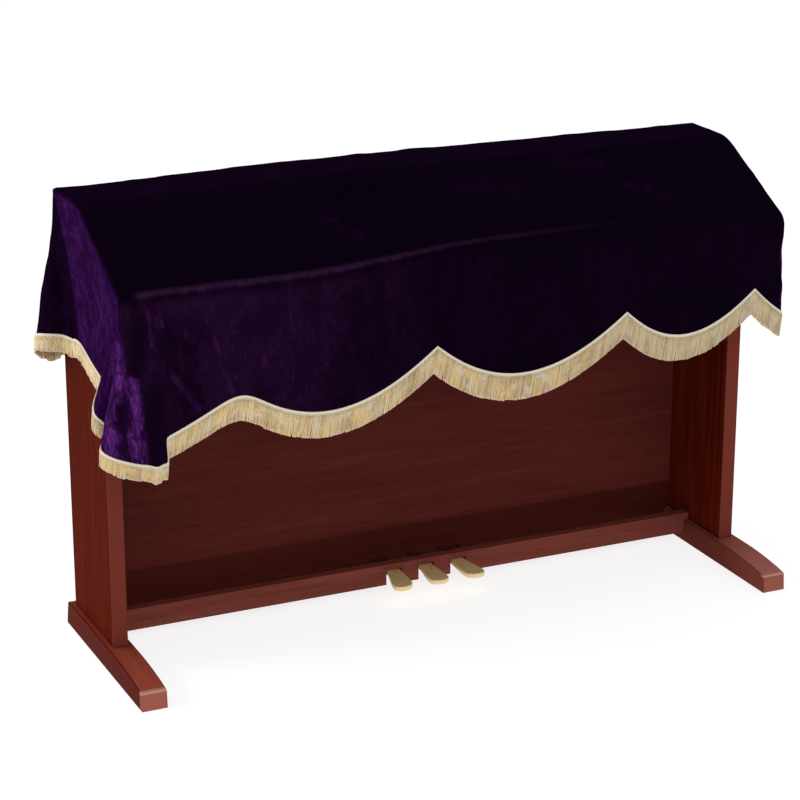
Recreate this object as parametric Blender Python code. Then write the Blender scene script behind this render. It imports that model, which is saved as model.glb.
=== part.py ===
"""A velvet piano cover with a scalloped, fringed hem, laid over a plain digital piano.

Metres, +Z up, the player's side facing -Y. The origin is on the floor, midway between the two feet.
"""

import bpy
import bmesh
import math
import numpy as np
from mathutils import Matrix, Vector

# ---------------------------------------------------------------- driving sizes of the piano
PIANO_WIDTH = 1.360  # over the outer faces of the two legs
CASE_WIDTH = 1.364  # the keyboard case stands 2 mm proud of each leg
GAP = 0.0003  # between boards that meet

FOOT_LENGTH = 0.452
FOOT_WIDTH = 0.050
FOOT_HEIGHT = 0.048
FOOT_TOE_HEIGHT = 0.036
FOOT_TOE_RUN = 0.150  # how far the top of the foot curves down towards the toe
FOOT_TOE_SLANT = 0.003
FOOT_HEEL_SLANT = 0.011

LEG_THICKNESS = 0.030
LEG_FRONT_Y = -0.036
LEG_BACK_Y = 0.196

RAIL_FRONT_Y = 0.089
RAIL_THICKNESS = 0.022
RAIL_BOTTOM_Z = 0.020
RAIL_TOP_Z = 0.064
NOTCH_WIDTH = 0.034
NOTCH_TOP_Z = 0.053

PANEL_FRONT_Y = 0.174
PANEL_THICKNESS = 0.015
PANEL_BOTTOM_Z = 0.020

CASE_BOTTOM_Z = 0.700
EDGE_ROUNDING = 0.0015
RAIL_ROUNDING = 0.001
CASE_ROUNDING = 0.003
PEDAL_ROUNDING = 0.002
ARC_STEPS = 6
CASE_ARC_STEPS = 5
CLOTH_ARC_STEPS = 3
LEAST_STEP = 0.002  # points of a path nearer than this are one
ROUND_SIDES = 20

# ---------------------------------------------------------------- pedals
PEDAL_X = (-0.041, 0.031, 0.103)
PEDAL_SPLAY = (-0.010, 0.0, 0.010)  # how far each tip stands to the side of its pivot
PEDAL_NAMES = ("pedal_left", "pedal_middle", "pedal_right")
PEDAL_TIP_Y = 0.014
PEDAL_PIVOT_Y = 0.150
PEDAL_PIVOT_Z = 0.0475
PEDAL_HEEL = 0.011  # lever behind the pivot
PEDAL_STEM_WIDTH = 0.028
PEDAL_TOE_WIDTH = 0.041
PEDAL_NECK_Y = 0.087  # where the lever starts to widen and to turn aside
PEDAL_SHOULDER_Y = 0.040  # where it has its full width
PEDAL_NOSE = 0.013  # length of its rounded end
PEDAL_THICKNESS = 0.010
PEDAL_DROOP = math.radians(3.5)
ROD_RADIUS = 0.0025
BORE_RADIUS = 0.0031
BRACKET_PLATE = 0.003
BRACKET_CHEEK_REACH = 0.008
BRACKET_EAR = 0.014  # width of the plate on each side of the cheeks
BRACKET_CLEARANCE = 0.010  # from the outer notches to the cheeks
ROD_INSET = 0.0005  # how far the rod ends inside the cheeks' outer faces

# ---------------------------------------------------------------- the shape the cover lies on
# Middle surface of the cloth over the case, seen from the side.
CLOTH = 0.002  # thickness of the velvet
CLEARANCE = 0.002  # from the case's edges to the cloth's inner face
SEAT_GAP = 0.0003  # from the slope to the cloth that lies on it
SEAT_SHARES = (0.33, 0.67)  # rows of the cloth that lie on the slope, as shares of its length
SEAT_MARGINS = (0.020, 0.060)  # from the ends of the case: the cloth settles over this stretch
STAND_OFF = CLEARANCE + CLOTH / 2
HALF_X = CASE_WIDTH / 2 + STAND_OFF
BACK_Y = 0.203
BREAK_Y = 0.059  # where the flat top turns into the slope
FRONT_Y = -0.163
TOP_Z = 0.886
NOSE_Z = 0.769
BACK_RADIUS = 0.012
BREAK_RADIUS = 0.110
NOSE_RADIUS = 0.030
CROWN = 0.006  # how much the cloth stands up along the top, left of the middle
CROWN_X = -0.20
CROWN_BACK = (-0.006, 0.004)  # from the back edge forward: the crown grows over this stretch
CROWN_START_Z = 0.850  # height on the slope where the cloth begins to stand up

# ---------------------------------------------------------------- the hem and its trimming
TAPE_HEIGHT = 0.008
TAPE_THICKNESS = 0.0022
TAPE_GAP = 0.0006
LOCK_PITCH = 0.0235
LOCK_FILL = 0.86  # share of the pitch that a lock takes
LOCK_TAPER = 0.08  # share of its width that a lock loses on each side by its tip
LOCK_PLUMB = 0.7  # 0 for locks that run on along the cloth, 1 for locks that hang plumb
LEAST_LOCK = 0.005  # room that one lock needs
TURN_MARGIN = 0.0012  # bare hem beside a column where the tape turns inwards
LEAST_TURN = 0.05  # half of the smallest turn that counts, in radians
LEAST_MITRE = 0.6  # cosine of half of the sharpest turn that is mitred
BANDS = (0.0, 0.07, 0.18, 0.32, 0.48, 0.66, 0.84, 1.0)  # rows of the skirt, as shares of its drop
FOLD_START = 0.08  # share of the drop where the folds begin to show
FOLD_FULL = 0.70  # share of the drop where they have their full depth
FOLD_REACH = 7  # columns on each side that the round upper part of a fold is averaged over
FLARE_POWER = 1.5  # how late the front and back swing out towards the hem
SKEW = 0.11  # how far the foot of a scallop is moved to its left

# Front skirt, left to right. edge_x is the place on the case's edge, hem_x, out and hem_z the end of
# the same thread at the trim's top line, sag how far the scallop hangs under its chord up to the
# next row, fringe the length of trim there, and cuts the number of columns up to the next row.
FRONT_ROWS = (
    # edge_x, hem_x,  out,    hem_z,  sag,   fringe, cuts
    (-0.685, -0.668, 0.048, 0.473, -0.003, 0.030, 2),
    (-0.658, -0.639, 0.042, 0.460, -0.002, 0.031, 2),
    (-0.638, -0.614, 0.025, 0.463, 0.000, 0.030, 1),
    (-0.622, -0.603, 0.008, 0.502, 0.000, 0.043, 1),
    (-0.585, -0.580, 0.008, 0.515, 0.001, 0.046, 3),
    (-0.480, -0.480, 0.008, 0.563, 0.000, 0.048, 1),
    (-0.448, -0.448, 0.008, 0.565, 0.074, 0.048, 10),
    (-0.071, -0.071, 0.008, 0.605, 0.084, 0.054, 11),
    (0.333, 0.333, 0.008, 0.621, 0.068, 0.053, 8),
    (0.621, 0.621, 0.007, 0.633, 0.004, 0.053, 2),
    (0.685, 0.688, 0.004, 0.577, 0.000, 0.050, 0),
)

# Back skirt, at the same places along the width.
BACK_ROWS = (
    # edge_x, out,    hem_z, sag,   fringe
    (-0.685, 0.004, 0.600, 0.000, 0.045),
    (-0.585, 0.006, 0.620, 0.010, 0.050),
    (-0.448, 0.007, 0.660, 0.062, 0.052),
    (-0.071, 0.008, 0.662, 0.064, 0.052),
    (0.333, 0.008, 0.660, 0.050, 0.052),
    (0.621, 0.007, 0.655, 0.000, 0.052),
    (0.685, 0.004, 0.610, 0.000, 0.045),
)

# Side skirts. edge_y is the place on the case's edge, the rest as in FRONT_ROWS.
LEFT_ROWS = (
    # edge_y, hem_y,  out,    hem_z, fringe
    (0.203, 0.094, 0.006, 0.624, 0.036),
    (0.120, 0.074, 0.007, 0.630, 0.036),
    (0.060, 0.040, 0.008, 0.632, 0.036),
    (-0.060, -0.030, 0.009, 0.612, 0.036),
    (-0.163, -0.080, 0.012, 0.606, 0.036),
)
RIGHT_ROWS = (
    # edge_y, hem_y,  out,    hem_z, fringe
    (0.203, 0.128, 0.006, 0.624, 0.040),
    (0.120, 0.100, 0.007, 0.632, 0.042),
    (0.060, 0.055, 0.009, 0.634, 0.042),
    (-0.060, -0.016, 0.008, 0.612, 0.044),
    (-0.147, -0.027, 0.007, 0.602, 0.045),
    (-0.163, -0.042, 0.006, 0.594, 0.046),
)

# The four corners, where the spare cloth hangs in folds from the case's corner. out_x and out_y are
# measured outwards from that corner, along the hem, each list in walking order round the cover with
# the front first and turning to the right.
FOLD_FRONT_RIGHT = (
    # out_x, out_y,  hem_z, fringe
    (0.012, -0.012, 0.566, 0.046),
    (0.030, -0.045, 0.556, 0.044),
    (0.046, -0.082, 0.552, 0.044),
    (0.042, -0.098, 0.556, 0.044),
    (0.024, -0.090, 0.566, 0.044),
    (0.012, -0.106, 0.580, 0.046),
)
FOLD_BACK_RIGHT = (
    # out_x, out_y,  hem_z, fringe
    (0.012, -0.062, 0.615, 0.040),
    (0.040, -0.046, 0.602, 0.040),
    (0.060, -0.020, 0.596, 0.040),
    (0.044, 0.004, 0.592, 0.040),
    (0.016, 0.010, 0.598, 0.042),
)
FOLD_BACK_LEFT = (
    # out_x, out_y,  hem_z, fringe
    (0.016, 0.008, 0.590, 0.042),
    (0.042, -0.006, 0.600, 0.036),
    (0.0612, -0.048, 0.624, 0.033),
    (0.046, -0.074, 0.629, 0.033),
    (0.018, -0.086, 0.627, 0.034),
)
FOLD_FRONT_LEFT = (
    # out_x, out_y,  hem_z, fringe
    (0.018, -0.070, 0.594, 0.034),
    (0.035, -0.054, 0.571, 0.033),
    (0.041, -0.038, 0.551, 0.032),
    (0.029, -0.028, 0.538, 0.031),
    (0.017, -0.018, 0.525, 0.030),
    (0.032, -0.006, 0.512, 0.030),
    (0.047, 0.010, 0.499, 0.030),
    (0.028, 0.032, 0.486, 0.030),
)
FOLD_CUTS = 2  # columns for each row of a fold


def clear_scene():
    """Empties the scene, so that only this model is in it."""
    for obj in list(bpy.data.objects):
        bpy.data.objects.remove(obj, do_unlink=True)


def make_material(name, colour, roughness, metallic=0.0):
    """A plain Principled material."""
    material = bpy.data.materials.new(name)
    material.use_nodes = True
    shader = material.node_tree.nodes["Principled BSDF"]
    shader.inputs["Base Color"].default_value = (*colour, 1.0)
    shader.inputs["Roughness"].default_value = roughness
    shader.inputs["Metallic"].default_value = metallic
    material.diffuse_color = (*colour, 1.0)
    return material


def add_object(name, mesh, material):
    """Links one named object that holds the mesh."""
    obj = bpy.data.objects.new(name, mesh)
    bpy.context.scene.collection.objects.link(obj)
    mesh.materials.append(material)
    return obj


def mesh_from(name, points, faces, sharp_angle=35.0):
    """A mesh with its faces turned outwards and shaded smooth up to an angle."""
    bm = bmesh.new()
    verts = [bm.verts.new(tuple(point)) for point in points]
    for face in faces:
        bm.faces.new([verts[index] for index in face])
    bmesh.ops.recalc_face_normals(bm, faces=bm.faces)
    mesh = bpy.data.meshes.new(name)
    bm.to_mesh(mesh)
    bm.free()
    mesh.shade_smooth()
    mesh.set_sharp_from_angle(angle=math.radians(sharp_angle))
    return mesh


def extruded(name, outline, axis, start, end, material, rounding=EDGE_ROUNDING):
    """An outline of (a, b) points, drawn in the plane across one axis and extruded along it."""
    places = {
        "X": lambda a, b, c: (c, a, b),
        "Y": lambda a, b, c: (a, c, b),
        "Z": lambda a, b, c: (a, b, c),
    }[axis]
    bm = bmesh.new()
    ring = [bm.verts.new(places(a, b, start)) for a, b in outline]
    face = bm.faces.new(ring)
    grown = bmesh.ops.extrude_face_region(bm, geom=[face])
    moved = [item for item in grown["geom"] if isinstance(item, bmesh.types.BMVert)]
    bmesh.ops.translate(bm, vec=Vector(places(0.0, 0.0, end - start)), verts=moved)
    bmesh.ops.recalc_face_normals(bm, faces=bm.faces)
    mesh = bpy.data.meshes.new(name)
    bm.to_mesh(mesh)
    bm.free()
    mesh.shade_smooth()
    mesh.set_sharp_from_angle(angle=math.radians(35.0))
    obj = add_object(name, mesh, material)
    if rounding:
        bevel = obj.modifiers.new("edges", "BEVEL")
        bevel.width = rounding
        bevel.segments = 2
        bevel.limit_method = "ANGLE"
        bevel.angle_limit = math.radians(40.0)
    return obj


def rectangle(low_a, low_b, high_a, high_b):
    return [(low_a, low_b), (high_a, low_b), (high_a, high_b), (low_a, high_b)]


def filleted(corners, radii, steps):
    """A path through the corners, each inner one rounded by a circular arc."""
    path = [np.array(corners[0], float)]
    for before, corner, after, radius in zip(corners, corners[1:], corners[2:], radii):
        corner = np.array(corner, float)
        towards = np.array(before, float) - corner
        away = np.array(after, float) - corner
        towards /= np.linalg.norm(towards)
        away /= np.linalg.norm(away)
        half = math.acos(np.clip(towards @ away, -1.0, 1.0)) / 2
        reach = radius / math.tan(half)
        centre = corner + (towards + away) / np.linalg.norm(towards + away) * radius / math.sin(half)
        start = corner + towards * reach - centre
        end = corner + away * reach - centre
        sweep = math.atan2(start[0] * end[1] - start[1] * end[0], start @ end)
        for step in range(steps + 1):
            turn = sweep * step / steps
            spun = (
                start[0] * math.cos(turn) - start[1] * math.sin(turn),
                start[0] * math.sin(turn) + start[1] * math.cos(turn),
            )
            path.append(centre + np.array(spun))
    path.append(np.array(corners[-1], float))
    return np.array(path)


# ---------------------------------------------------------------- the piano


def foot_outline():
    """Side view of a foot: flat sole, slanted heel and a top that curves down to the toe."""
    front = -FOOT_LENGTH / 2
    back = FOOT_LENGTH / 2
    curve = []
    for step in range(ARC_STEPS + 1):
        run = step / ARC_STEPS
        drop = (FOOT_HEIGHT - FOOT_TOE_HEIGHT) * (1 - run) ** 2
        curve.append((front + FOOT_TOE_SLANT + FOOT_TOE_RUN * run, FOOT_HEIGHT - drop))
    heel = [(back - FOOT_HEEL_SLANT, FOOT_HEIGHT), (back, 0.0)]
    return [(front, 0.0)] + curve + heel


def make_feet(wood):
    centre = PIANO_WIDTH / 2 - LEG_THICKNESS / 2
    for side, name in ((-1, "foot_left"), (1, "foot_right")):
        low = side * centre - FOOT_WIDTH / 2
        extruded(name, foot_outline(), "X", low, low + FOOT_WIDTH, wood)


def make_legs(wood):
    for side, name in ((-1, "leg_left"), (1, "leg_right")):
        outer = side * PIANO_WIDTH / 2
        inner = outer - side * LEG_THICKNESS
        plan = rectangle(min(outer, inner), LEG_FRONT_Y, max(outer, inner), LEG_BACK_Y)
        extruded(name, plan, "Z", FOOT_HEIGHT + GAP, CASE_BOTTOM_Z - GAP, wood)


def board_outline(bottom, top, notches=()):
    """Front view of a board between the legs, stepped over the feet and open below each notch."""
    leg_inner = PIANO_WIDTH / 2 - LEG_THICKNESS - GAP
    foot_inner = PIANO_WIDTH / 2 - LEG_THICKNESS / 2 - FOOT_WIDTH / 2 - GAP
    step_z = FOOT_HEIGHT + GAP
    outline = [(-leg_inner, top), (-leg_inner, step_z), (-foot_inner, step_z)]
    outline.append((-foot_inner, bottom))
    for x in notches:
        left = x - NOTCH_WIDTH / 2
        right = x + NOTCH_WIDTH / 2
        outline += [(left, bottom), (left, NOTCH_TOP_Z)]
        outline += [(right, NOTCH_TOP_Z), (right, bottom)]
    outline.append((foot_inner, bottom))
    outline += [(foot_inner, step_z), (leg_inner, step_z), (leg_inner, top)]
    return outline


def make_rail_and_panel(rail_wood, panel_wood):
    rail = board_outline(RAIL_BOTTOM_Z, RAIL_TOP_Z, PEDAL_X)
    back = RAIL_FRONT_Y + RAIL_THICKNESS
    extruded("pedal_rail", rail, "Y", RAIL_FRONT_Y, back, rail_wood, RAIL_ROUNDING)
    panel = board_outline(PANEL_BOTTOM_Z, CASE_BOTTOM_Z - GAP)
    back = PANEL_FRONT_Y + PANEL_THICKNESS
    extruded("back_panel", panel, "Y", PANEL_FRONT_Y, back, panel_wood, rounding=0.0)


def profile_corners(back_z, front_z):
    """Corners of the cloth's side view: up the back, over the top and down the slope to the front."""
    corners = [(BACK_Y, back_z), (BACK_Y, TOP_Z), (BREAK_Y, TOP_Z), (FRONT_Y, NOSE_Z)]
    return np.array([*corners, (FRONT_Y, front_z)])


def inset(corners, distance):
    """The same path moved inwards, with every stretch parallel to its old place."""
    runs = np.diff(corners, axis=0)
    runs /= np.linalg.norm(runs, axis=1)[:, None]
    inwards = np.column_stack([-runs[:, 1], runs[:, 0]])
    shifts = [inwards[0]]
    for before, after in zip(inwards, inwards[1:]):
        shifts.append((before + after) / (1 + before @ after))
    shifts.append(inwards[-1])
    return corners + np.array(shifts) * distance


def case_outline():
    """Side view of the keyboard case: flat top, sloping fall and a rounded nose."""
    corners = inset(profile_corners(CASE_BOTTOM_Z, CASE_BOTTOM_Z), STAND_OFF)
    radii = (BACK_RADIUS - STAND_OFF, BREAK_RADIUS - STAND_OFF, NOSE_RADIUS - STAND_OFF)
    return [tuple(point) for point in filleted(corners, radii, CASE_ARC_STEPS)]


def make_case(wood):
    extruded("keyboard_case", case_outline(), "X", -CASE_WIDTH / 2, CASE_WIDTH / 2, wood, CASE_ROUNDING)


def pedal_outline(splay):
    """Plan of a pedal from its pivot at y 0 to its rounded toe at -y, turned aside from the neck on."""
    reach = PEDAL_PIVOT_Y - PEDAL_TIP_Y
    neck = PEDAL_NECK_Y - PEDAL_PIVOT_Y
    shoulder = PEDAL_SHOULDER_Y - PEDAL_PIVOT_Y
    stem = PEDAL_STEM_WIDTH / 2
    toe = PEDAL_TOE_WIDTH / 2
    right = [(stem, PEDAL_HEEL), (stem, neck), (toe, shoulder)]
    nose = []
    for step in range(ARC_STEPS + 1):
        turn = math.pi * step / ARC_STEPS
        nose.append((toe * math.cos(turn), PEDAL_NOSE - reach - PEDAL_NOSE * math.sin(turn)))
    left = [(-x, y) for x, y in reversed(right)]
    outline = []
    for x, y in right + nose + left:
        outline.append((x + splay * max(neck - y, 0.0) / (neck + reach), y))
    return outline


def hidden_rod(name, x, radius, length, material):
    """A round rod along X on the pedals' pivot line, kept only as a tool for a Boolean."""
    bm = bmesh.new()
    bmesh.ops.create_cone(
        bm,
        cap_ends=True,
        segments=ROUND_SIDES,
        radius1=radius,
        radius2=radius,
        depth=length,
        matrix=Matrix.Rotation(math.radians(90.0), 4, "Y"),
    )
    mesh = bpy.data.meshes.new(name)
    bm.to_mesh(mesh)
    bm.free()
    rod = add_object(name, mesh, material)
    rod.location = (x, PEDAL_PIVOT_Y, PEDAL_PIVOT_Z)
    rod.hide_render = True
    rod.display_type = "WIRE"
    return rod


def make_pedals(brass):
    """Three levers, each with its origin on its pivot, bored for the rod that carries it."""
    half = PEDAL_THICKNESS / 2
    for x, splay, name in zip(PEDAL_X, PEDAL_SPLAY, PEDAL_NAMES):
        pedal = extruded(name, pedal_outline(splay), "Z", -half, half, brass, PEDAL_ROUNDING)
        pedal.data.transform(Matrix.Rotation(PEDAL_DROOP, 4, "X"))
        pedal.location = (x, PEDAL_PIVOT_Y, PEDAL_PIVOT_Z)
        bore = pedal.modifiers.new("bore", "BOOLEAN")
        bore.operation = "DIFFERENCE"
        bore.object = hidden_rod(name + "_bore", x, BORE_RADIUS, PEDAL_TOE_WIDTH * 2, brass)


def make_pedal_bracket(steel):
    """The hinge rod of the pedals with its two cheeks and the plate on the back of the rail."""
    left = PEDAL_X[0] - NOTCH_WIDTH / 2 - BRACKET_CLEARANCE
    right = PEDAL_X[-1] + NOTCH_WIDTH / 2 + BRACKET_CLEARANCE
    plate_front = RAIL_FRONT_Y + RAIL_THICKNESS + GAP
    low = PEDAL_PIVOT_Z - BRACKET_CHEEK_REACH
    high = PEDAL_PIVOT_Z + BRACKET_CHEEK_REACH
    far = PEDAL_PIVOT_Y + BRACKET_CHEEK_REACH
    cheek = left - BRACKET_PLATE
    ear = cheek - BRACKET_EAR
    plan = [(ear, plate_front), (left, plate_front), (left, far), (cheek, far)]
    plan += [(cheek, plate_front + BRACKET_PLATE), (ear, plate_front + BRACKET_PLATE)]
    bm = bmesh.new()
    for mirrored in (False, True):
        ring = []
        for x, y in plan:
            x = left + right - x if mirrored else x
            ring.append(bm.verts.new((x, y, low)))
        face = bm.faces.new(ring)
        grown = bmesh.ops.extrude_face_region(bm, geom=[face])
        moved = [item for item in grown["geom"] if isinstance(item, bmesh.types.BMVert)]
        bmesh.ops.translate(bm, vec=Vector((0.0, 0.0, high - low)), verts=moved)
    bmesh.ops.recalc_face_normals(bm, faces=bm.faces)
    mesh = bpy.data.meshes.new("pedal_bracket")
    bm.to_mesh(mesh)
    bm.free()
    bracket = add_object("pedal_bracket", mesh, steel)
    span = right - left + 2 * (BRACKET_PLATE - ROD_INSET)
    join = bracket.modifiers.new("rod", "BOOLEAN")
    join.operation = "UNION"
    join.object = hidden_rod("pedal_rod", (left + right) / 2, ROD_RADIUS, span, steel)


# ---------------------------------------------------------------- the cover


def cloth_profile():
    """(y, z, seated) along the cloth's middle surface over the case, from the back to the front edge."""
    corners = profile_corners(TOP_Z - BACK_RADIUS, NOSE_Z - NOSE_RADIUS)
    path = filleted(corners, (BACK_RADIUS, BREAK_RADIUS, NOSE_RADIUS), CLOTH_ARC_STEPS)
    slope_end = 2 * (CLOTH_ARC_STEPS + 1)
    high = path[slope_end]
    low = path[slope_end + 1]
    seats = [(*(high + (low - high) * share), 1.0) for share in SEAT_SHARES]
    rows = [(*point, 0.0) for point in path]
    rows[slope_end + 1 : slope_end + 1] = seats
    profile = [rows[0]]
    for row in rows[1:]:
        if math.dist(row[:2], profile[-1][:2]) > LEAST_STEP:
            profile.append(row)
    return profile


def between(rows, place):
    """The row before a place along a table's first column, how far on it is, and the values there."""
    table = np.array(rows)
    spot = int(np.clip(np.searchsorted(table[:, 0], place) - 1, 0, len(table) - 2))
    row = table[spot]
    after = table[spot + 1]
    share = min(max((place - row[0]) / (after[0] - row[0]), 0.0), 1.0)
    return row, share, row * (1 - share) + after * share


def scallop(depth, share):
    """How far a scallop hangs under its chord, part of the way along it."""
    return depth * 4 * share * (1 - share) * (1 + SKEW * (1 - 2 * share))


def smooth_curve(rows, cuts):
    """A Catmull-Rom curve through the rows, without the first and last, which only steer it."""
    rows = np.array(rows, float)
    found = []
    for one, two, three, four in zip(rows, rows[1:], rows[2:], rows[3:]):
        for cut in range(cuts):
            t = cut / cuts
            a = 2 * two
            b = (three - one) * t
            c = (2 * one - 5 * two + 4 * three - four) * t * t
            d = (3 * two - one - 3 * three + four) * t**3
            found.append((a + b + c + d) / 2)
    return found


def front_columns():
    """(edge point, hem point, fringe) of each thread of the front skirt, left to right."""
    columns = []
    edge_z = NOSE_Z - NOSE_RADIUS
    table = np.array(FRONT_ROWS)
    for row, after in zip(table, [*table[1:], table[-1]]):
        sag, _, cuts = row[4:]
        cuts = max(int(cuts), 1)
        for cut in range(cuts):
            share = cut / cuts
            edge_x, hem_x, out, hem_z, _, fringe, _ = row * (1 - share) + after * share
            edge = (edge_x, FRONT_Y, edge_z)
            hem = (hem_x, FRONT_Y - out, hem_z - scallop(sag, share))
            columns.append((edge, hem, fringe))
    return columns


def back_columns(widths):
    """Threads of the back skirt, right to left."""
    columns = []
    for x in reversed(widths):
        row, share, (_, out, hem_z, _, fringe) = between(BACK_ROWS, x)
        edge = (x, BACK_Y, TOP_Z - BACK_RADIUS)
        hem = (x, BACK_Y + out, hem_z - scallop(row[3], share))
        columns.append((edge, hem, fringe))
    return columns


def side_columns(rows, side, profile):
    """Threads of a side skirt, for each inner point of the profile."""
    columns = []
    for y, z, _ in profile:
        _, _, (_, hem_y, out, hem_z, fringe) = between(sorted(rows), y)
        columns.append(((side * HALF_X, y, z), (side * (HALF_X + out), hem_y, hem_z), fringe))
    return columns


def fold_columns(rows, corner, signs, before, after):
    """Threads of one corner's folds, which all start from the corner of the case."""
    placed = []
    for out_x, out_y, hem_z, fringe in rows:
        placed.append((corner[0] + signs[0] * out_x, corner[1] + signs[1] * out_y, hem_z, fringe))
    first = (*before[1], before[2])
    last = (*after[1], after[2])
    steered = smooth_curve([placed[0], first, *placed, last, placed[-1]], FOLD_CUTS)
    return [(corner, tuple(point[:3]), point[3]) for point in steered[1:]]


def skirt_columns(profile):
    """All threads of the skirt in walking order: front, right, back, left, with the four corners."""
    front = front_columns()
    widths = [edge[0] for edge, _, _ in front]
    back = back_columns(widths)
    inner = profile[1:-1]
    right = side_columns(RIGHT_ROWS, 1, inner[::-1])
    left = side_columns(LEFT_ROWS, -1, inner)
    low = NOSE_Z - NOSE_RADIUS
    high = TOP_Z - BACK_RADIUS
    corners = (
        (HALF_X, FRONT_Y, low),
        (HALF_X, BACK_Y, high),
        (-HALF_X, BACK_Y, high),
        (-HALF_X, FRONT_Y, low),
    )
    folds = (
        fold_columns(FOLD_FRONT_RIGHT, corners[0], (1, -1), front[-1], right[0]),
        fold_columns(FOLD_BACK_RIGHT, corners[1], (1, 1), right[-1], back[0]),
        fold_columns(FOLD_BACK_LEFT, corners[2], (-1, 1), back[-1], left[0]),
        fold_columns(FOLD_FRONT_LEFT, corners[3], (-1, -1), left[-1], front[0]),
    )
    return front, folds[0], right, folds[1], back, folds[2], left, folds[3]


def eased(value, low, high):
    share = min(max((value - low) / (high - low), 0.0), 1.0)
    return share * share * (3 - 2 * share)


def fall(columns, bands):
    """Points of every thread at every band. Folds start round under the corner and sharpen lower."""
    edges = np.array([edge for edge, _, _ in columns])
    hems = np.array([hem for _, hem, _ in columns])
    hems[:, 2] -= TAPE_HEIGHT
    soft = np.zeros_like(hems)
    weights = 0.0
    for shift in range(-FOLD_REACH, FOLD_REACH + 1):
        weight = 1 - abs(shift) / (FOLD_REACH + 1)
        soft += np.roll(hems, shift, axis=0) * weight
        weights += weight
    soft /= weights
    folded = np.isclose(np.abs(edges[:, 0]), HALF_X)
    levels = []
    for share in bands:
        crisp = eased(share, FOLD_START, FOLD_FULL)
        target = hems + (soft - hems) * ((1 - crisp) * folded)[:, None]
        target[:, 2] = hems[:, 2]
        level = edges + (target - edges) * share
        flare = (target - edges)[:, 1] * (share**FLARE_POWER - share)
        level[:, 1] += np.where(folded, 0.0, flare)
        levels.append(level)
    return np.array(levels)


def top_points(widths, profile):
    """Grid of the cloth on the case: settled on the slope, and a little loose along the top."""
    fall_y = FRONT_Y - BREAK_Y
    fall_z = NOSE_Z - TOP_Z
    slope_out = np.array([0.0, fall_z, -fall_y]) / math.hypot(fall_y, fall_z)
    grid = np.zeros((len(profile), len(widths), 3))
    for row, (y, z, seated) in enumerate(profile):
        for column, x in enumerate(widths):
            reach = HALF_X + (CROWN_X if x < CROWN_X else -CROWN_X)
            hump = math.cos(math.pi * (x - CROWN_X) / (2 * reach)) ** 2
            crown = CROWN * hump * eased(z, CROWN_START_Z, TOP_Z) * eased(BACK_Y - y, *CROWN_BACK)
            settled = (CLEARANCE - SEAT_GAP) * seated * eased(HALF_X - abs(x), *SEAT_MARGINS)
            grid[row, column] = np.array([x, y, z + crown]) - slope_out * settled
    return grid


def rim_walk(rows, cols, groups):
    """Index of the grid point that each thread hangs from. A corner's folds all share one point."""
    last_row = (rows - 1) * cols
    walk = [last_row + col for col in range(cols)]
    walk += [last_row + cols - 1] * len(groups[1])
    walk += [row * cols + cols - 1 for row in range(rows - 2, 0, -1)]
    walk += [cols - 1] * len(groups[3])
    walk += [col for col in range(cols - 1, -1, -1)]
    walk += [0] * len(groups[5])
    walk += [row * cols for row in range(1, rows - 1)]
    walk += [last_row] * len(groups[7])
    return walk


def cover_surface():
    """Points and faces of the cloth's middle surface, with the threads and levels of its skirt."""
    profile = cloth_profile()
    groups = skirt_columns(profile)
    widths = [edge[0] for edge, _, _ in groups[0]]
    grid = top_points(widths, profile)
    rows, cols = grid.shape[:2]
    points = [tuple(point) for point in grid.reshape(-1, 3)]
    faces = []
    for row in range(rows - 1):
        for col in range(cols - 1):
            a = row * cols + col
            faces.append((a, a + cols, a + cols + 1, a + 1))
    columns = [column for group in groups for column in group]
    levels = fall(columns, BANDS)
    previous = rim_walk(rows, cols, groups)
    for level in levels[1:]:
        ids = list(range(len(points), len(points) + len(columns)))
        points += [tuple(point) for point in level]
        for index in range(len(columns)):
            after = (index + 1) % len(columns)
            ring = [previous[index], previous[after], ids[after], ids[index]]
            if ring[0] == ring[1]:
                ring = ring[1:]
            faces.append(tuple(ring))
        previous = ids
    return points, faces, columns, levels


def make_cloth(velvet, points, faces):
    mesh = mesh_from("cover_cloth", points, faces, 60.0)
    cloth = add_object("cover_cloth", mesh, velvet)
    thick = cloth.modifiers.new("velvet", "SOLIDIFY")
    thick.thickness = CLOTH
    thick.offset = 0.0


def hem_directions(levels):
    """Up the cloth and along the hem at each column, and outwards over each stretch and each column."""
    hem = levels[-1]
    up = levels[-2] - hem
    up /= np.linalg.norm(up, axis=1)[:, None]
    along = np.roll(hem, -1, axis=0) - hem
    flat = np.cross(along, up + np.roll(up, -1, axis=0))
    flat /= np.linalg.norm(flat, axis=1)[:, None]
    corner = flat + np.roll(flat, 1, axis=0)
    corner /= np.linalg.norm(corner, axis=1)[:, None]
    mitre = 1 / np.clip((corner * flat).sum(axis=1), LEAST_MITRE, 1.0)
    return up, along, flat, corner * mitre[:, None]


def corner_insets(along, flat):
    """Length of hem to keep bare beside each column, where the tape turns inwards."""
    before = np.roll(along, 1, axis=0)
    inwards = before[:, 0] * along[:, 1] - before[:, 1] * along[:, 0] < 0
    cosine = np.clip((flat * np.roll(flat, 1, axis=0)).sum(axis=1), -0.9, 1.0)
    half_turn = np.arccos(cosine) / 2
    reach = CLOTH / 2 + TAPE_GAP + TAPE_THICKNESS
    bare = reach * np.tan(half_turn) + TURN_MARGIN * (half_turn > LEAST_TURN)
    return np.where(inwards, bare, 0.0)


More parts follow.
